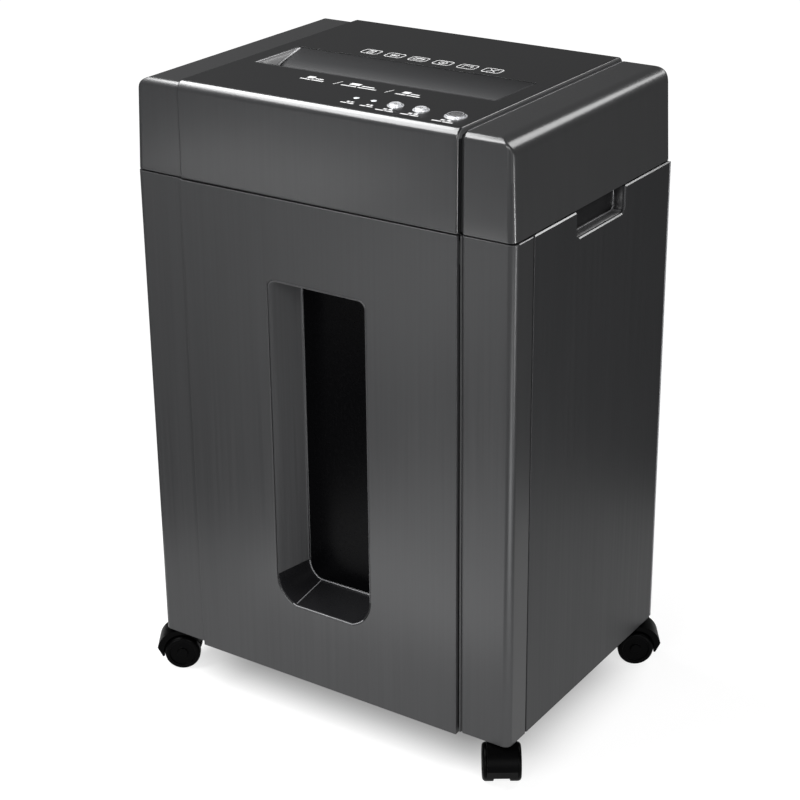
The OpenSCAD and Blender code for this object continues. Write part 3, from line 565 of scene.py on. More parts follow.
def tube(points, r, sides=8, closed=False):
    """A round bead along points as a bmesh."""
    bm = bmesh.new()
    pts = [Vector(p) for p in points]
    count = len(pts)
    rows = []
    for i, here in enumerate(pts):
        before = pts[i - 1] if closed or i > 0 else here
        after = pts[(i + 1) % count] if closed or i < count - 1 else here
        frame_turn = (after - before).to_track_quat("Z", "Y").to_matrix()
        rows.append([bm.verts.new(here + frame_turn @ Vector((r * math.cos(a), r * math.sin(a), 0)))
                     for a in (2 * math.pi * k / sides for k in range(sides))])
    for i in range(count if closed else count - 1):
        belt(bm, rows[i], rows[(i + 1) % count])
    if not closed:
        bm.faces.new(rows[0])
        bm.faces.new(rows[-1])
    return bm


def join(parts):
    """One bmesh from several."""
    whole = bmesh.new()
    for part in parts:
        mesh = bpy.data.meshes.new("part")
        part.to_mesh(mesh)
        part.free()
        whole.from_mesh(mesh)
        bpy.data.meshes.remove(mesh)
    return whole


def make_buttons():
    for name, (x, y, r) in BUTTONS.items():
        low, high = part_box(name + "_button")
        top = high.z
        stem = 2 * MM
        dish = 0.35 * MM
        flange_z = cover_high.z - 4.8 * MM
        profile = [(0, low.z), (stem, low.z), (stem, flange_z), (r + FLANGE, flange_z),
                   (r + FLANGE, flange_z + 1.5 * MM), (r, flange_z + 1.5 * MM), (r, top - 1.0 * MM),
                   (r - 0.1 * MM, top - 0.55 * MM), (r - 0.35 * MM, top - 0.2 * MM), (r - 0.8 * MM, top),
                   (r - 1.3 * MM, top - 0.05 * MM), (r * 0.6, top - dish * 0.8), (r * 0.3, top - dish),
                   (0, top - dish)]

        def dished(face):
            """The power button's hollow face, which is grey."""
            return name == "power" and face.normal.z > 0.5 and face.calc_center_median().z < top - 0.1 * MM

        piece(name + "_button_cap", lathe(profile), chrome, name + "_key",
              [name + "_button"], Matrix.Translation((x, y, 0)), other=button_grey, others=dished)
        mark_z = top - dish + 0.02 * MM
        size = r * 0.42
        if name == "power":
            ring = [(size * math.sin(a), size * math.cos(a))
                    for a in (math.radians(40 + 280 * k / 24) for k in range(25))]
            bar = [(0, size * 0.2), (0, size * 1.2)]
            mark = join([strip(line, 0.7 * MM, MARK_INK) for line in (ring, bar)])
        else:
            way = 1 if name == "forward" else -1
            chevrons = [[(-size * 0.5 * way + s * MM * way, size * 0.7), (size * 0.3 * way + s * MM * way, 0),
                         (-size * 0.5 * way + s * MM * way, -size * 0.7)] for s in (-0.8, 1.0)]
            mark = join([strip(line, 0.6 * MM, MARK_INK) for line in chevrons])
        piece(name + "_button_mark", mark, print_dark, name + "_key",
              move=Matrix.Translation((x, y, mark_z)))
    rings = []
    ring_low, ring_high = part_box("button_rings")
    for x, y, r in BUTTONS.values():
        inner, outer = r + 0.3 * MM, r + RING
        z0, z1 = ring_low.z, ring_high.z
        profile = [(inner, z0), (outer, z0), (outer, z1 - 0.35 * MM), (outer - 0.15 * MM, z1 - 0.1 * MM),
                   (outer - 0.45 * MM, z1), (inner + 0.5 * MM, z1), (inner + 0.12 * MM, z1 - 0.2 * MM),
                   (inner, z1 - 0.6 * MM), (inner, z0)]
        ring = lathe(profile)
        bmesh.ops.translate(ring, vec=(x, y, 0), verts=ring.verts)
        rings.append(ring)
    piece("button_rings_turned", join(rings), chrome, "cabinet", ["button_rings"])
    lamps = []
    for x in LAMP_X:
        dome = [(0, lamp_low.z), (LAMP_R, lamp_low.z), (LAMP_R, lamp_high.z - 0.3 * MM)]
        dome += [(LAMP_R * math.cos(a), lamp_high.z - 0.3 * MM + 0.3 * MM * math.sin(a))
                 for a in (math.radians(15 * k) for k in range(1, 6))] + [(0, lamp_high.z)]
        lamp = lathe(dome, 32)
        bmesh.ops.translate(lamp, vec=(x, LAMP_Y, 0), verts=lamp.verts)
        lamps.append(lamp)
    piece("indicator_domes", join(lamps), lamp_white, "cabinet", ["indicator_lenses"])


# ---- Paper entry ----

SHOULDER_Y = -20 * MM      # where the ramp steepens
RAMP_SLOPE = 0.25
RAMP_DROP = 28.5 * MM      # from the cover's top to the ramp's foot


def make_trough():
    x1 = trough_high.x - 2 * MM
    y0, y1 = trough_low.y + 1.75 * MM, trough_high.y - 1.75 * MM
    top = COVER_TOP - 0.15 * MM
    slot = y0 + 6 * MM
    floor_z = trough_low.z
    shoulder = Vector((SHOULDER_Y, top - RAMP_SLOPE * (y1 - SHOULDER_Y)))
    foot = Vector((slot, trough_high.z - RAMP_DROP))
    down = (foot - shoulder).normalized()
    back = (Vector((y1, top)) - shoulder).normalized()
    turn = [shoulder + back * 8 * MM * (1 - t) ** 2 + down * 8 * MM * t ** 2
            for t in (k / 8 for k in range(9))]
    ramp = [(slot, floor_z), tuple(foot)] + [tuple(p) for p in reversed(turn)] + [(y1, top)]
    bm = bmesh.new()

    def row(x):
        return [bm.verts.new((x, y, z)) for y, z in [(y0, top), (y0, floor_z)] + ramp]

    a, b = row(-x1), row(x1)
    for i in [0] + list(range(2, len(a) - 1)):
        bm.faces.new((a[i], b[i], b[i + 1], a[i + 1]))
    for v in (a, b):
        bm.faces.new(v)
    # Only the left end wall gets the pale paint, as painted light; the right one keeps the ramp's paint.
    obj = piece("entry_trough_shell", bm, ramp_paint, "cabinet", ["entry_trough"],
                other=end_wall_painted_light, others=lambda face: face.calc_center_median().x < -0.9 * x1)
    soften(obj, 0.6 * MM, 20)
    thicken(obj, 1.6 * MM).use_even_offset = True
    # A pale tube along the left end wall's corner with the ramp is a painted highlight.
    bead = tube([(1.2 * MM - x1, y, z + 0.6 * MM) for y, z in ramp[1:-1]] +
                [(1.2 * MM - x1, y1 - 1.5 * MM, top - 0.4 * MM)], 0.7 * MM)
    painted_highlight_piece("entry_trough_painted_highlight", bead, painted_highlight_pale, "cabinet")


# ---- End caps ----

CAP_LEAN = 4 * MM
CAP_FOOT = 0.7 * MM        # the caps stand this far inside the side panels, so that the panels' lip shows
CAP_SIDE_R = 14 * MM
CAP_EDGE_R = 6 * MM
CHANNEL_X = STRIP_IN + 1.5 * MM
CHANNEL_DEPTH = 3.5 * MM
TURN_R = 1.6 * MM          # rounding of the caps' edges along the channel


def cap_ring(inner, side_in, edge_in, z_side, z_edge, corner_x, corner_y, steps=8):
    """One level of the cap's outer surface, from its front inner edge round to its back inner edge."""
    x1 = HALF_W - CAP_FOOT - side_in
    y1 = HALF_D - edge_in
    points = [Vector((inner, -y1, z_edge))]
    for way in (-1, 1):
        corner = []
        for k in range(steps + 1):
            a = math.pi / 2 * k / steps
            x = x1 - corner_x + corner_x * math.sin(a)
            y = y1 - corner_y + corner_y * math.cos(a)
            z = z_edge * math.cos(a) ** 2 + z_side * math.sin(a) ** 2
            corner.append(Vector((x, way * y, z)))
        points += corner if way < 0 else list(reversed(corner))
    points.append(Vector((inner, y1, z_edge)))
    return points


def make_cap(side, name):
    channel_x, turn_r = (CHANNEL_X, TURN_R) if side > 0 else (cover_high.x + 0.3 * MM, 0.5 * MM)
    bm = bmesh.new()
    low = cap_low.z + 0.2 * MM
    height = CAP_TOP - cap_low.z
    rings = []
    normals = []

    def level(z_side, z_edge, extra_side=0.0, extra_edge=0.0, phi=0.0):
        side_in = CAP_LEAN * (z_side - cap_low.z) / height * (1 - CAP_SIDE_R / height) + extra_side
        edge_in = HEAD_LEAN * (z_edge - cap_low.z) / height + extra_edge
        grow = (CAP_SIDE_R - CAP_EDGE_R) * (1 - math.cos(phi))
        rings.append(cap_ring(channel_x + turn_r, side_in, edge_in, z_side, z_edge,
                              max(1 * MM, CAP_EDGE_R + grow - extra_side),
                              max(0.8 * MM, CAP_EDGE_R - extra_edge)))
        normals.append(phi)

    foot = 0.5 * MM
    level(low + foot, low + foot, 2.2 * MM, 2.2 * MM)
    level(low, low, 2.0 * MM, 2.0 * MM)
    level(low, low, foot, foot)
    level(low + 0.15 * MM, low + 0.15 * MM, 0.15 * MM, 0.15 * MM)
    level(low + foot, low + foot)
    for k in range(1, 6):
        share = k / 6
        level(low + foot + (CAP_TOP - CAP_SIDE_R - low - foot) * share,
              low + foot + (CAP_TOP - CAP_EDGE_R - low - foot) * share)
    steps = 10
    for k in range(steps + 1):
        a = math.pi / 2 * k / steps
        level(CAP_TOP - CAP_SIDE_R * (1 - math.sin(a)), CAP_TOP - CAP_EDGE_R * (1 - math.sin(a)),
              CAP_SIDE_R * (1 - math.cos(a)), CAP_EDGE_R * (1 - math.cos(a)), a)

    grid = [[bm.verts.new(p) for p in ring] for ring in rings]
    bridge(bm, grid)

    # The inner edge turns over a small radius into the channel and along its shelf.
    edge = [(r[0], Vector((-math.cos(a), math.sin(a)))) for r, a in zip(grid[4:], normals[4:])]
    edge += [(r[-1], Vector((math.cos(a), math.sin(a))))
             for r, a in reversed(list(zip(grid[4:], normals[4:])))]
    turn = [(turn_r * math.sin(a), turn_r * (1 - math.cos(a)))
            for a in (math.radians(18 * k) for k in range(1, 6))]
    shelf = turn + [(turn_r, CHANNEL_DEPTH - 0.4 * MM), (turn_r + 0.3 * MM, CHANNEL_DEPTH),
                    (channel_x + turn_r - cap_low.x, CHANNEL_DEPTH)]
    previous = [v for v, _ in edge]
    for across, down in shelf:
        row = [bm.verts.new((vert.co.x - across, vert.co.y - normal.x * down, vert.co.z - normal.y * down))
               for vert, normal in edge]
        for i in range(len(row) - 1):
            bm.faces.new((previous[i], previous[i + 1], row[i + 1], row[i]))
        previous = row
    # The cap's front faces get the head front's painted shading, painted shade against the cap's lighter top.
    piece(name + "_end_cap_shell", bm, cap_paint, "cabinet", [name + "_end_cap"],
          mirrored(side), sharp=50, other=head_front_painted_shading, others=lambda face: face.normal.y < FRONT_TURN)
    # A grey tube along the cap's inner top edge is a painted highlight.
    line = [(channel_x + turn_r * 0.35, way * (HALF_D - 8 * MM), CAP_TOP - 0.35 * MM) for way in (-1, 1)]
    painted_highlight_piece(name + "_end_cap_painted_highlight", tube(line, 0.35 * MM), painted_highlight_grey, "cabinet", side)


# ---- Cabinet ----

POST_R = 6.5 * MM          # rounding of the cabinet's front edges
POST_RETURN = 20 * MM      # how far the post reaches back inside the drawer's opening
POST_FLANGE = 9 * MM       # the post's turned edge beside the side panel
VENT_FOOT, VENT_HEAD = 400 * MM, 432 * MM    # heights of the slots in the rear panel
VENT_PITCH, VENT_HALF = 14, 2.5           # mm


def make_post(side, name):
    x0 = STRIP_IN
    y0 = -HALF_D
    y1 = post_high.y
    bead, groove = 1.5 * MM, 1.2 * MM
    edge = [(x0, y0, 0.1 * MM)] if side < 0 else [
        (x0, y0, 0.25 * MM), (x0 + bead, y0, 0.5 * MM), (x0 + bead, y0 + groove, 0.1 * MM),
        (x0 + 2 * bead, y0 + groove, 0.1 * MM), (x0 + 2 * bead, y0, 0.6 * MM)]
    outline = rounded([
        (x0, post_low.y + POST_RETURN, 0), *edge, (HALF_W, y0, POST_R), (HALF_W, y1, 0.7 * MM),
        (HALF_W - POST_FLANGE, y1, 0), (HALF_W - POST_FLANGE, y1 - 1.5 * MM, 0),
        (HALF_W - SHEET, y1 - 1.5 * MM, 0), (HALF_W - SHEET, y0 + SHEET, 4 * MM),
        (x0 + SHEET, y0 + SHEET, 0), (x0 + SHEET, post_low.y + POST_RETURN, 0)])
    bm = sheet_mesh(outline, [], post_high.z - post_low.z, 0.4 * MM, back_fillet=0.4 * MM, steps=3)
    stand = Matrix.Translation((0, 0, post_high.z)) @ Matrix.Scale(-1, 4, Vector((0, 0, 1)))
    piece(name + "_corner_post_shell", bm, front_paint, "cabinet", [name + "_corner_post"],
          mirrored(side) @ stand)
    # A pale tube along the post's top outer edge is a painted highlight.
    lip = [(HALF_W - 0.38 * MM, y, post_high.z - 0.38 * MM) for y in (y0 + POST_R, y1 - 1 * MM)]
    painted_highlight_piece(name + "_corner_post_painted_highlight", tube(lip, 0.45 * MM), painted_highlight_pale, "cabinet", side)


def make_side_panel(side, name):
    y0, y1 = panel_low.y + 0.5 * MM, panel_high.y - 1.2 * MM
    fold = Fold([(HALF_W - 12 * MM, y1, 0), (HALF_W, y1, 3 * MM), (HALF_W, y0, 0.7 * MM),
                 (HALF_W - 8 * MM, y0, 0)])
    flat = fold.straight(0)

    def along(y):
        return flat.start + (flat.here.y - y)

    low, high = CABINET_Z, CABINET_TOP
    n0, n1 = along(cup_high.y - 2 * MM), along(cup_low.y + 2 * MM)
    notch = cup_low.z + 2 * MM
    outer = rounded([(0, low, 0.5 * MM), (fold.length, low, 0.5 * MM), (fold.length, high, 0.5 * MM),
                     (n1, high, 1.5 * MM), (n1, notch, 5 * MM), (n0, notch, 5 * MM), (n0, high, 1.5 * MM),
                     (0, high, 0.5 * MM)])
    bm = wrapped_sheet(outer, [], SHEET, 1.0 * MM, fold, lambda p, v: Vector((p.x, p.y, v)), steps=1)
    # A grey tube down the panel's back edge is a painted highlight.
    edge = tube([(HALF_W - 0.9 * MM, HALF_D - 0.85 * MM, z) for z in (low + 1 * MM, high - 1 * MM)], 0.8 * MM)
    painted_highlight_piece(name + "_side_panel_painted_highlight", edge, painted_highlight_grey, "cabinet", side)
    piece(name + "_side_panel_shell", bm, side_paint, "cabinet", [name + "_side_panel"],
          mirrored(side), other=edge_gloss,
          others=lambda face: abs(face.normal.x) > 0.4 and face.normal.z > 0.4)


def make_cup(side, name):
    """The finger cup behind a notch: a tray whose floor and ends curve into its back wall."""
    wall = 2 * MM
    back = cup_low.x + wall
    mouth = cup_high.x
    y0, y1 = cup_low.y + wall, cup_high.y - wall
    z0, z1 = cup_low.z + wall, cup_high.z
    bm = bmesh.new()
    steps = 6
    sweep = 3 * MM

    def u_line(inset, x):
        """A U from one upper end down round the floor to the other, moved in by inset."""
        r = max(0.6 * MM, 5 * MM - inset)
        pts = [Vector((x, y0 + inset, z1))]
        for cy, a0 in ((y0 + inset + r, math.pi), (y1 - inset - r, 1.5 * math.pi)):
            pts += [Vector((x, cy + r * math.cos(a0 + math.pi / 2 * k / steps),
                            z0 + inset + r + r * math.sin(a0 + math.pi / 2 * k / steps)))
                    for k in range(steps + 1)]
        pts.append(Vector((x, y1 - inset, z1)))
        return pts

    rows = [u_line(0, mouth)]
    for k in range(steps + 1):
        a = math.pi / 2 * k / steps
        rows.append(u_line(sweep * (1 - math.cos(a)), back + sweep * (1 - math.sin(a))))
    grid = [[bm.verts.new(p) for p in row] for row in rows]
    bridge(bm, grid)
    # Faces that look up or down, the cup's floor among them, get the lighter recess grey: painted light beside the
    # cup's black walls.
    obj = piece(name + "_hand_cup_shell", bm, cup_plastic, "cabinet", [name + "_hand_cup"],
                mirrored(side), sharp=50, other=recess_grey_and_painted_light, others=lambda face: abs(face.normal.z) > 0.7)
    thicken(obj, 1.5 * MM)
    # Grey tubes along the floor at the back wall and up one end are painted highlights.
    floor_x, end_x = back + 1.6 * MM, back + 1.2 * MM
    beads = [tube([(floor_x, y0 + 5 * MM, z0 + 1.2 * MM), (floor_x, y1 - 5 * MM, z0 + 1.2 * MM),
                   (floor_x, y1 - 1.6 * MM, z0 + 4 * MM)], 0.5 * MM),
             tube([(end_x, y1 - 1.0 * MM, z0 + 5 * MM), (end_x, y1 - 1.0 * MM, z1 - 1 * MM)], 0.35 * MM)]
    painted_highlight_piece(name + "_hand_cup_painted_highlights", join(beads), painted_highlight_grey, "cabinet", side)


def make_rear_panel():
    outer = rectangle(rear_low.x, rear_low.z, rear_high.x, rear_high.z, 1 * MM)
    holes = [clockwise(rectangle((VENT_PITCH * i - VENT_HALF) * MM, VENT_FOOT,
                                 (VENT_PITCH * i + VENT_HALF) * MM, VENT_HEAD, 2.4 * MM))
             for i in range(-5, 6)]
    bm = sheet_mesh(outer, holes, rear_high.y - rear_low.y, 0.4 * MM)
    turn = Matrix(((1, 0, 0, 0), (0, 0, -1, rear_high.y), (0, 1, 0, 0), (0, 0, 0, 1)))
    piece("rear_panel_sheet", bm, side_paint, "cabinet", ["rear_panel"], turn)


# ---- Drawer ----

POCKET_TAPER = 4 * MM
WINDOW_R = 28 * MM         # rounding of the window's lower corners
KINK = math.radians(72)    # the lower corners' arcs meet the flat bottom at an angle, in a crease


def window_outline(inward, grow):
    """The window in (x, z), counterclockwise, at a share of the way into the pocket."""
    t = POCKET_TAPER * inward - grow
    x1 = pocket_high.x - t
    z0 = pocket_low.z + 1.25 * t
    z1 = pocket_high.z - t
    r = WINDOW_R - 2.0 * t
    r_top = 7 * MM - 0.3 * t
    rise = r * math.sin(KINK)
    arc_steps = 10
    right = [Vector((x1 - r + r * math.cos(a), z0 + rise + r * math.sin(a)))
             for a in (-KINK + KINK * k / arc_steps for k in range(arc_steps + 1))]
    top_right = [Vector((x1 - r_top + r_top * math.cos(a), z1 - r_top + r_top * math.sin(a)))
                 for a in (math.pi / 2 * k / 6 for k in range(7))]
    half = right + top_right
    left = [Vector((-p.x, p.y)) for p in reversed(half)]
    return half + left


def make_drawer_front():
    left = 0.06 * MM - STRIP_IN
    outer = rectangle(left, front_low.z, front_high.x, front_high.z, 0.5 * MM)
    hole = clockwise(window_outline(0, 0))
    bm = sheet_mesh(outer, [hole], front_high.y - front_low.y, 0.4 * MM, 1.1 * MM)
    bmesh.ops.transform(bm, matrix=upright(front_low.y), verts=bm.verts)
    parts = [bm]
    for x in (left, front_high.x - 1.2 * MM):
        side_return = sheet_mesh(rectangle(x, front_high.y - 0.5 * MM, x + 1.2 * MM, front_high.y + 12 * MM,
                                           0.3 * MM), [], front_high.z - front_low.z - 4 * MM, 0.3 * MM)
        bmesh.ops.translate(side_return, vec=(0, 0, front_low.z + 0.3 * MM), verts=side_return.verts)
        parts.append(side_return)

    def left_fillet(face):
        """The part of the hole's rounded edge that turns away from the light, painted black as painted shade."""
        return (face.normal.x > 0.15 and abs(face.normal.z) < 0.3
                and abs(face.calc_center_median().x) < pocket_high.x)

    piece("drawer_front_panel", join(parts), front_paint, "drawer", ["drawer_front"],
          other=painted_shade_black, others=left_fillet)


def make_pocket():
    """The pocket's wall: a rim behind the drawer's face, a drafted wall and a lip around the lens."""
    y_face = front_low.y + 0.8 * MM
    y_back = pocket_high.y
    rings = [(0.0, -0.6 * MM, y_face + 0.4 * MM), (0.0, -0.75 * MM, y_face),
             (0.02, -1.0 * MM, y_face + 0.05 * MM)]
    rings += [(share, -1.1 * MM, y_face + (y_back - y_face) * share) for share in (0.04, 0.5, 0.96)]
    rings += [(1.0, -1.4 * MM, y_back - 0.5 * MM), (1.0, -2.3 * MM, y_back - 0.3 * MM),
              (1.0, -2.5 * MM, y_back), (1.0, 0.0, y_back), (0.5, 0.4 * MM, (y_back + y_face) / 2),
              (0.0, -0.2 * MM, y_face + 0.6 * MM)]
    bm = bmesh.new()
    grid = [[bm.verts.new((p.x, y, p.y)) for p in window_outline(share, grow)] for share, grow, y in rings]
    for r0, r1 in zip(grid, grid[1:] + grid[:1]):
        belt(bm, r0, r1)
    bend = pocket_low.z + WINDOW_R * math.sin(KINK)

    def dark(face):
        """The lower bend and the rim of the left wall, which get painted shade in near-black."""
        x, y, z = face.calc_center_median()
        return z < bend or (x < 0 and y < y_face + 0.45 * MM and z < pocket_high.z - 8 * MM)

    piece("window_pocket_shell", bm, recess_grey_and_painted_light, "drawer", ["window_pocket"], sharp=14,
          other=painted_shade_black, others=dark)
    # Grey tubes along the lower left crease and around the lens are painted highlights.
    crease = []
    for share, y in ((0.03, y_face + 1 * MM), (0.5, (y_face + y_back) / 2), (0.96, y_back - 1 * MM)):
        corner = window_outline(share, -1.1 * MM)[-1]
        crease.append((corner.x, y, corner.y))
    rim = [(p.x, y_back - 0.4 * MM, p.y) for p in window_outline(1, -1.8 * MM)]
    beads = [tube(crease, 0.45 * MM), tube(rim, 0.5 * MM, closed=True)]
    painted_highlight_piece("window_pocket_painted_highlights", join(beads), painted_highlight_grey, "drawer")
    # A grey tube along the window's lower edge, in front of the face, is a painted highlight.
    foot = window_outline(0, -0.4 * MM)
    line = [(p.x, y_face - 0.3 * MM, p.y) for p in foot[-2:] + foot[:5]]
    painted_highlight_piece("window_foot_painted_highlight", tube(line, 0.4 * MM), painted_highlight_grey, "drawer")


def make_lens():
    low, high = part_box("window_lens")
    outline = window_outline(1, 0.5 * MM)
    bm = sheet_mesh(outline, [], high.y - low.y, 0.4 * MM)
    piece("window_lens_plate", bm, lens_plastic, "drawer", ["window_lens"], upright(low.y))


# ---- Castors ----

def make_castors():
    for joint in frame["joints"]:
        name = joint["name"]
        if not name.startswith("castor_") or not name.endswith("_roll"):
            continue
        corner = name.split("_")[1]
        low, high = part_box("castor_wheels_" + corner)
        centre = Vector(joint["pos_m"])
        axle = Vector(joint["axis"])
        wheel_r = (high.z - low.z) / 2
        inner, outer = 6.7 * MM, 16.2 * MM     # a wheel's faces, from the castor's middle
        round_r = 3.2 * MM
        profile = [(2.5 * MM, inner), (wheel_r - 0.8 * MM, inner), (wheel_r - 0.2 * MM, inner + 0.2 * MM),
                   (wheel_r, inner + 0.9 * MM), (wheel_r, outer - round_r)]
        profile += [(wheel_r - round_r + round_r * math.cos(a), outer - round_r + round_r * math.sin(a))
                    for a in (math.radians(12 * k) for k in range(1, 7))]
        profile += [(wheel_r - 3.6 * MM, outer - 0.15 * MM), (wheel_r - 4.2 * MM, outer - 0.5 * MM),
                    (wheel_r - 4.6 * MM, outer - 1.6 * MM), (wheel_r - 5.2 * MM, outer - 1.9 * MM),
                    (5.6 * MM, outer - 1.9 * MM), (5.1 * MM, outer - 1.6 * MM), (4.8 * MM, outer - 0.4 * MM),
                    (4.3 * MM, outer), (1.2 * MM, outer), (0, outer)]
        axle_end = [(0, 0), (2.5 * MM, 0)]
        wheels = []
        for way in (1, -1):
            wheel = lathe(axle_end + profile)
            turn = Vector((0, 0, 1)).rotation_difference(axle * way).to_matrix().to_4x4()
            bmesh.ops.transform(wheel, matrix=Matrix.Translation(centre) @ turn, verts=wheel.verts)
            wheels.append(wheel)
        piece("castor_wheels_turned_" + corner, join(wheels), castor_plastic, "wheels_" + corner,
              ["castor_wheels_" + corner])
        soften(frame["nodes"]["castor_hood_" + corner], 0.7 * MM, 40).harden_normals = True


# ---- Printed marks on the cover: plain bars and symbols in place of words ----

INK = 0.06 * MM
SIGN_PITCH = 23.7          # mm between the signs behind the paper entry


def caption(x, width, lines):
    """Bars of ink in millimetres, each as (start, y, length, height), whose start and length are
    shares of a width around x."""
    left = x - width / 2
    return [strip([((left + width * start) * MM, y * MM),
                   ((left + width * start + width * length) * MM, y * MM)], height * MM, INK)
            for start, y, length, height in lines]


def stroke(x, y, line, width, closed=False):
    return strip([((x + a) * MM, (y + b) * MM) for a, b in line], width * MM, INK, closed)


def ring_line(r, step):
    return [(r * math.cos(math.radians(a)), r * math.sin(math.radians(a))) for a in range(0, 361, step)]


SIGNS = {
    "sheet": [[(-2.6, -3.8), (2.6, -3.8), (2.6, 3.8), (-2.6, 3.8), (-2.6, -3.8)], [(-1.3, 1.6), (1.3, 1.6)],
              [(-1.3, -0.8), (1.3, -0.8)]],
    "clip": [[(-4, -1.8), (2.6, -1.8), (4, 0), (2.6, 1.8), (-3, 1.8), (-3.8, 0.6), (-2.6, -0.4),
              (2.2, -0.4)]],
    "card": [[(-4.4, -2.8), (4.4, -2.8), (4.4, 2.8), (-4.4, 2.8), (-4.4, -2.8)], [(-4.4, 1.2), (4.4, 1.2)]],
    "disc": [ring_line(3.6, 24), ring_line(1.0, 60)],
    "staple": [[(-4, -2.6), (-4, 2.6), (4, 2.6), (4, -2.6)]],
    "cross": [[(-3.8, -3.8), (3.8, 3.8)], [(-3.8, 3.8), (3.8, -3.8)]],
}


def framed_sign(x, y, kind):
    """A rounded frame with a plain sign inside."""
    outline = rounded([(-8, -6, 2.6), (8, -6, 2.6), (8, 6, 2.6), (-8, 6, 2.6)], 22)
    return [stroke(x, y, outline, 0.8, closed=True)] + [stroke(x, y, line, 0.75) for line in SIGNS[kind]]


def make_marks():
    parts = []
    for i, kind in enumerate(["sheet", "clip", "card", "disc", "staple", "cross"]):
        parts += framed_sign(-52.8 + SIGN_PITCH * i, 31 - 0.3 * i, kind)
    for x, width in ((-41, 23), (4, 34), (49.5, 23)):
        parts += caption(x, width, [(0.15, -63.5, 0.28, 5.2), (0.5, -65.2, 0.34, 1.8),
                                    (0, -69.8, 0.42, 1.7), (0.47, -69.8, 0.5, 1.7)])
    for x in (-18.3, 30.5):
        parts.append(stroke(x, -66.5, [(-1.2, -5), (1.2, 5)], 0.7))
    for x, y, width in ((21.6, -110, 12), (39.6, -110.3, 11), (58, -113.5, 16), (80.5, -113.5, 16),
                        (111, -116, 18)):
        parts += caption(x, width, [(0.3, y + 2.6, 0.2, 2.4), (0.6, y + 2.6, 0.2, 2.4),
                                    (0, y - 1.4, 0.45, 1.7), (0.52, y - 1.4, 0.48, 1.7)])
    piece("cover_marks", join(parts), print_white, "cabinet",
          move=Matrix.Translation((0, 0, COVER_TOP)))


# ---- Stage, light and camera ----

VIEW_AZIMUTH = math.radians(33.8)
FLOOR_SHIFT = Vector((0.04, 0, 0))
FLOOR_ACROSS, FLOOR_ALONG = 0.50, 0.40    # half sizes of the oval floor, across the view and along it
GLOW_INSET = 0.075         # the floor's glow, which is held low under the cabinet as a painted shadow, starts this far inside the cabinet's outline
GLOW_REACH = 0.105         # and reaches its full strength over this distance
# The least glow, under the cabinet, is a painted contact shadow; the most is the open floor.
GLOW_LEAST, GLOW_MOST = 0.10, 0.84
GLOW_ON_OBJECTS = 0.66     # share of the glow that falls on the object and shows in its reflections


def floor_material():
    """White paper that glows a little, as on a lit table, but not under the cabinet, where the weak glow paints a
    contact shadow.
    """
    mat = surface("floor_paper", (0.30, 0.30, 0.30), 0.7, mottle=0.01, cloud=0.005, grain=60, specular=0.1)
    tree = mat.node_tree
    last = add_node(tree, "TexCoord", {}).outputs["Object"]
    inside = (HALF_W - GLOW_INSET, HALF_D - GLOW_INSET, 0)
    for operation, value in (("ABSOLUTE", None), ("SUBTRACT", inside), ("MAXIMUM", (0, 0, 0)),
                             ("LENGTH", None)):
        step = add_node(tree, "VectorMath", {})
        step.operation = operation
        tree.links.new(last, step.inputs[0])
        if value is not None:
            step.inputs[1].default_value = value
        last = step.outputs["Value" if operation == "LENGTH" else "Vector"]
    glow = add_node(tree, "MapRange", {
        "Value": last, "From Max": GLOW_REACH, "To Min": GLOW_LEAST, "To Max": GLOW_MOST})
    glow.interpolation_type = "SMOOTHSTEP"
    seen = add_node(tree, "LightPath", {}).outputs["Is Camera Ray"]
    share = add_node(tree, "MapRange", {"Value": seen, "To Min": GLOW_ON_OBJECTS})
    dim = add_node(tree, "Math", {})
    dim.operation = "MULTIPLY"
    tree.links.new(glow.outputs["Result"], dim.inputs[0])
    tree.links.new(share.outputs["Result"], dim.inputs[1])
    wire(tree.nodes["Principled BSDF"],
         {"Emission Color": (1, 1, 1, 1), "Emission Strength": dim.outputs["Value"]})
    return mat


def make_stage():
    bm = bmesh.new()
    view = Matrix.Rotation(VIEW_AZIMUTH, 3, "Z")
    rim = []
    for a in (2 * math.pi * k / 96 for k in range(96)):
        point = view @ Vector((FLOOR_ACROSS * math.cos(a), FLOOR_ALONG * math.sin(a), 0))
        rim.append(bm.verts.new(point + FLOOR_SHIFT))
    bm.faces.new(rim)
    mesh = bpy.data.meshes.new("floor")
    bm.to_mesh(mesh)
    bm.free()
    mesh.materials.append(floor_material())
    linked("floor", mesh)

    world = bpy.data.worlds.new("studio")
    bpy.context.scene.world = world
    world.use_nodes = True
    tree = world.node_tree
    tree.nodes.clear()
    seen, fill = (add_node(tree, "Background", {"Color": (1, 1, 1, 1), "Strength": strength})
                  for strength in (1.05, 0.07))
    path = add_node(tree, "LightPath", {})
    mix = add_node(tree, "MixShader", {"Fac": path.outputs["Is Camera Ray"]})
    tree.links.new(fill.outputs["Background"], mix.inputs[1])
    tree.links.new(seen.outputs["Background"], mix.inputs[2])
    add_node(tree, "OutputWorld", {"Surface": mix.outputs["Shader"]})


def softbox(name, place, target, width, height, power, along=(0, 0, 1)):
    """A panel of light at place that faces target, with its height running along a direction."""
    data = bpy.data.lights.new(name, "AREA")
    data.shape = "RECTANGLE"
    data.size = width
    data.size_y = height
    data.energy = power
    lamp = linked(name, data)
    lamp.visible_camera = False
    back = (Vector(place) - Vector(target)).normalized()
    across = Vector(along).cross(back).normalized()
    turn = Matrix((across, back.cross(across), back)).transposed()
    lamp.matrix_world = Matrix.Translation(place) @ turn.to_4x4()


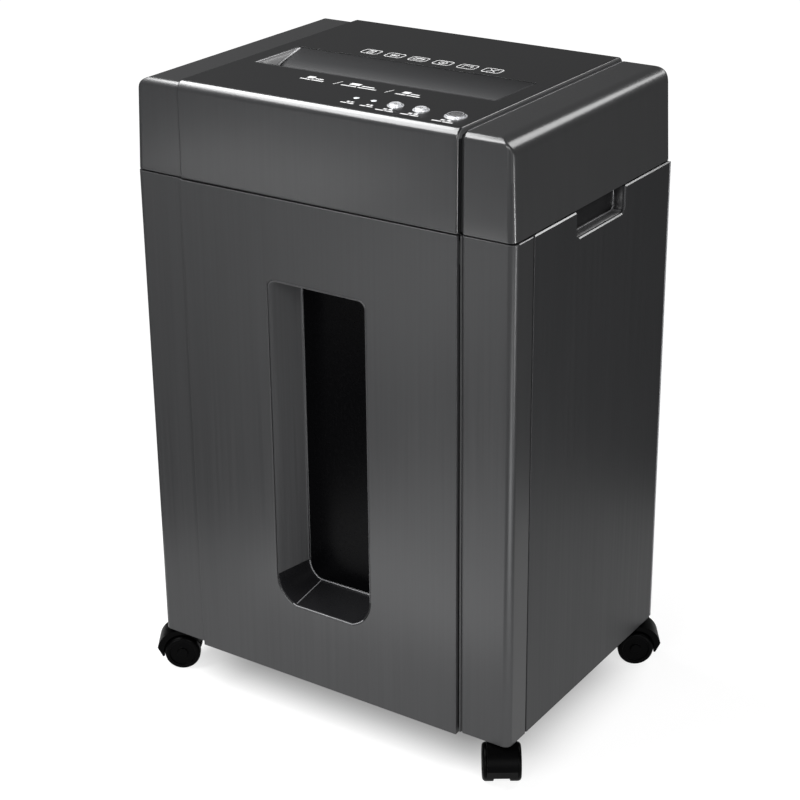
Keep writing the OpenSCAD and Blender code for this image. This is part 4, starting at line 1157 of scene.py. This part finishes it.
def card(name, x, y, z, width, height, power, along=(0, 1, 0)):
    """A panel of light on the floor that faces up, seen only in the object's reflections."""
    softbox(name, (x, y, z), (x, y, 1.0), width, height, power, along)


def make_lights():
    softbox("overhead", (-0.62, -0.45, 1.43), (0, -0.125, 0.54), 0.45, 1.5, 28, (0, 1, 0))
    softbox("back", (0.745, 1.15, 1.31), (0.17, 0, 0.54), 0.7, 0.5, 5.5)
    softbox("front_fill", (0.1, -2.7, 0.9), (0, 0, 0.25), 1.4, 1.2, 40)
    softbox("right_fill", (2.0, -1.5, 1.3), (0, 0, 0.3), 1.0, 1.0, 26)
    softbox("corner_strip", (1.25, -0.15, 0.1), (0.17, -0.12, 0.3), 0.12, 0.3, 3.4)
    outward = (0.56, 0.83, 0)
    card("head_card", -1.1, -1.5, 0.0, 0.5, 0.35, 1.3)
    card("front_card", -0.5, -1.1, 0.0, 0.3, 0.4, 1.3)
    card("low_card", -0.07, -0.45, 0.003, 0.3, 0.3, 0.45)
    card("near_corner_card", 0.512, -0.351, 0.003, 0.42, 0.4, 0.6, outward)
    card("corner_card", 0.8, -0.56, 0.0, 0.8, 0.32, 3.0, outward)
    card("rear_card", -0.3, 1.05, 0.0, 0.7, 0.7, 4)


def make_camera():
    data = bpy.data.cameras.new("camera")
    data.sensor_width = 36.0
    data.lens = 88.66
    data.shift_y = -0.05625
    camera = linked("camera", data)
    place = Vector((0.8622, -1.2973, 0.9459))
    target = Vector((-0.00669, 0.0, 0.29805))
    look = (target - place).to_track_quat("-Z", "Y").to_matrix()
    roll = Matrix.Rotation(math.radians(-0.57), 3, "Z")
    camera.matrix_world = Matrix.Translation(place) @ (look @ roll).to_4x4()
    bpy.context.scene.camera = camera


make_camera()
dress_frame()
make_cover()
make_buttons()
make_trough()
for which, word in ((-1, "left"), (1, "right")):
    make_cap(which, word)
    make_post(which, word)
    make_side_panel(which, word)
    make_cup(which, word)
make_rear_panel()
make_drawer_front()
make_pocket()
make_lens()
make_castors()
make_marks()
make_stage()
make_lights()
bpy.context.scene.view_settings.view_transform = "Standard"
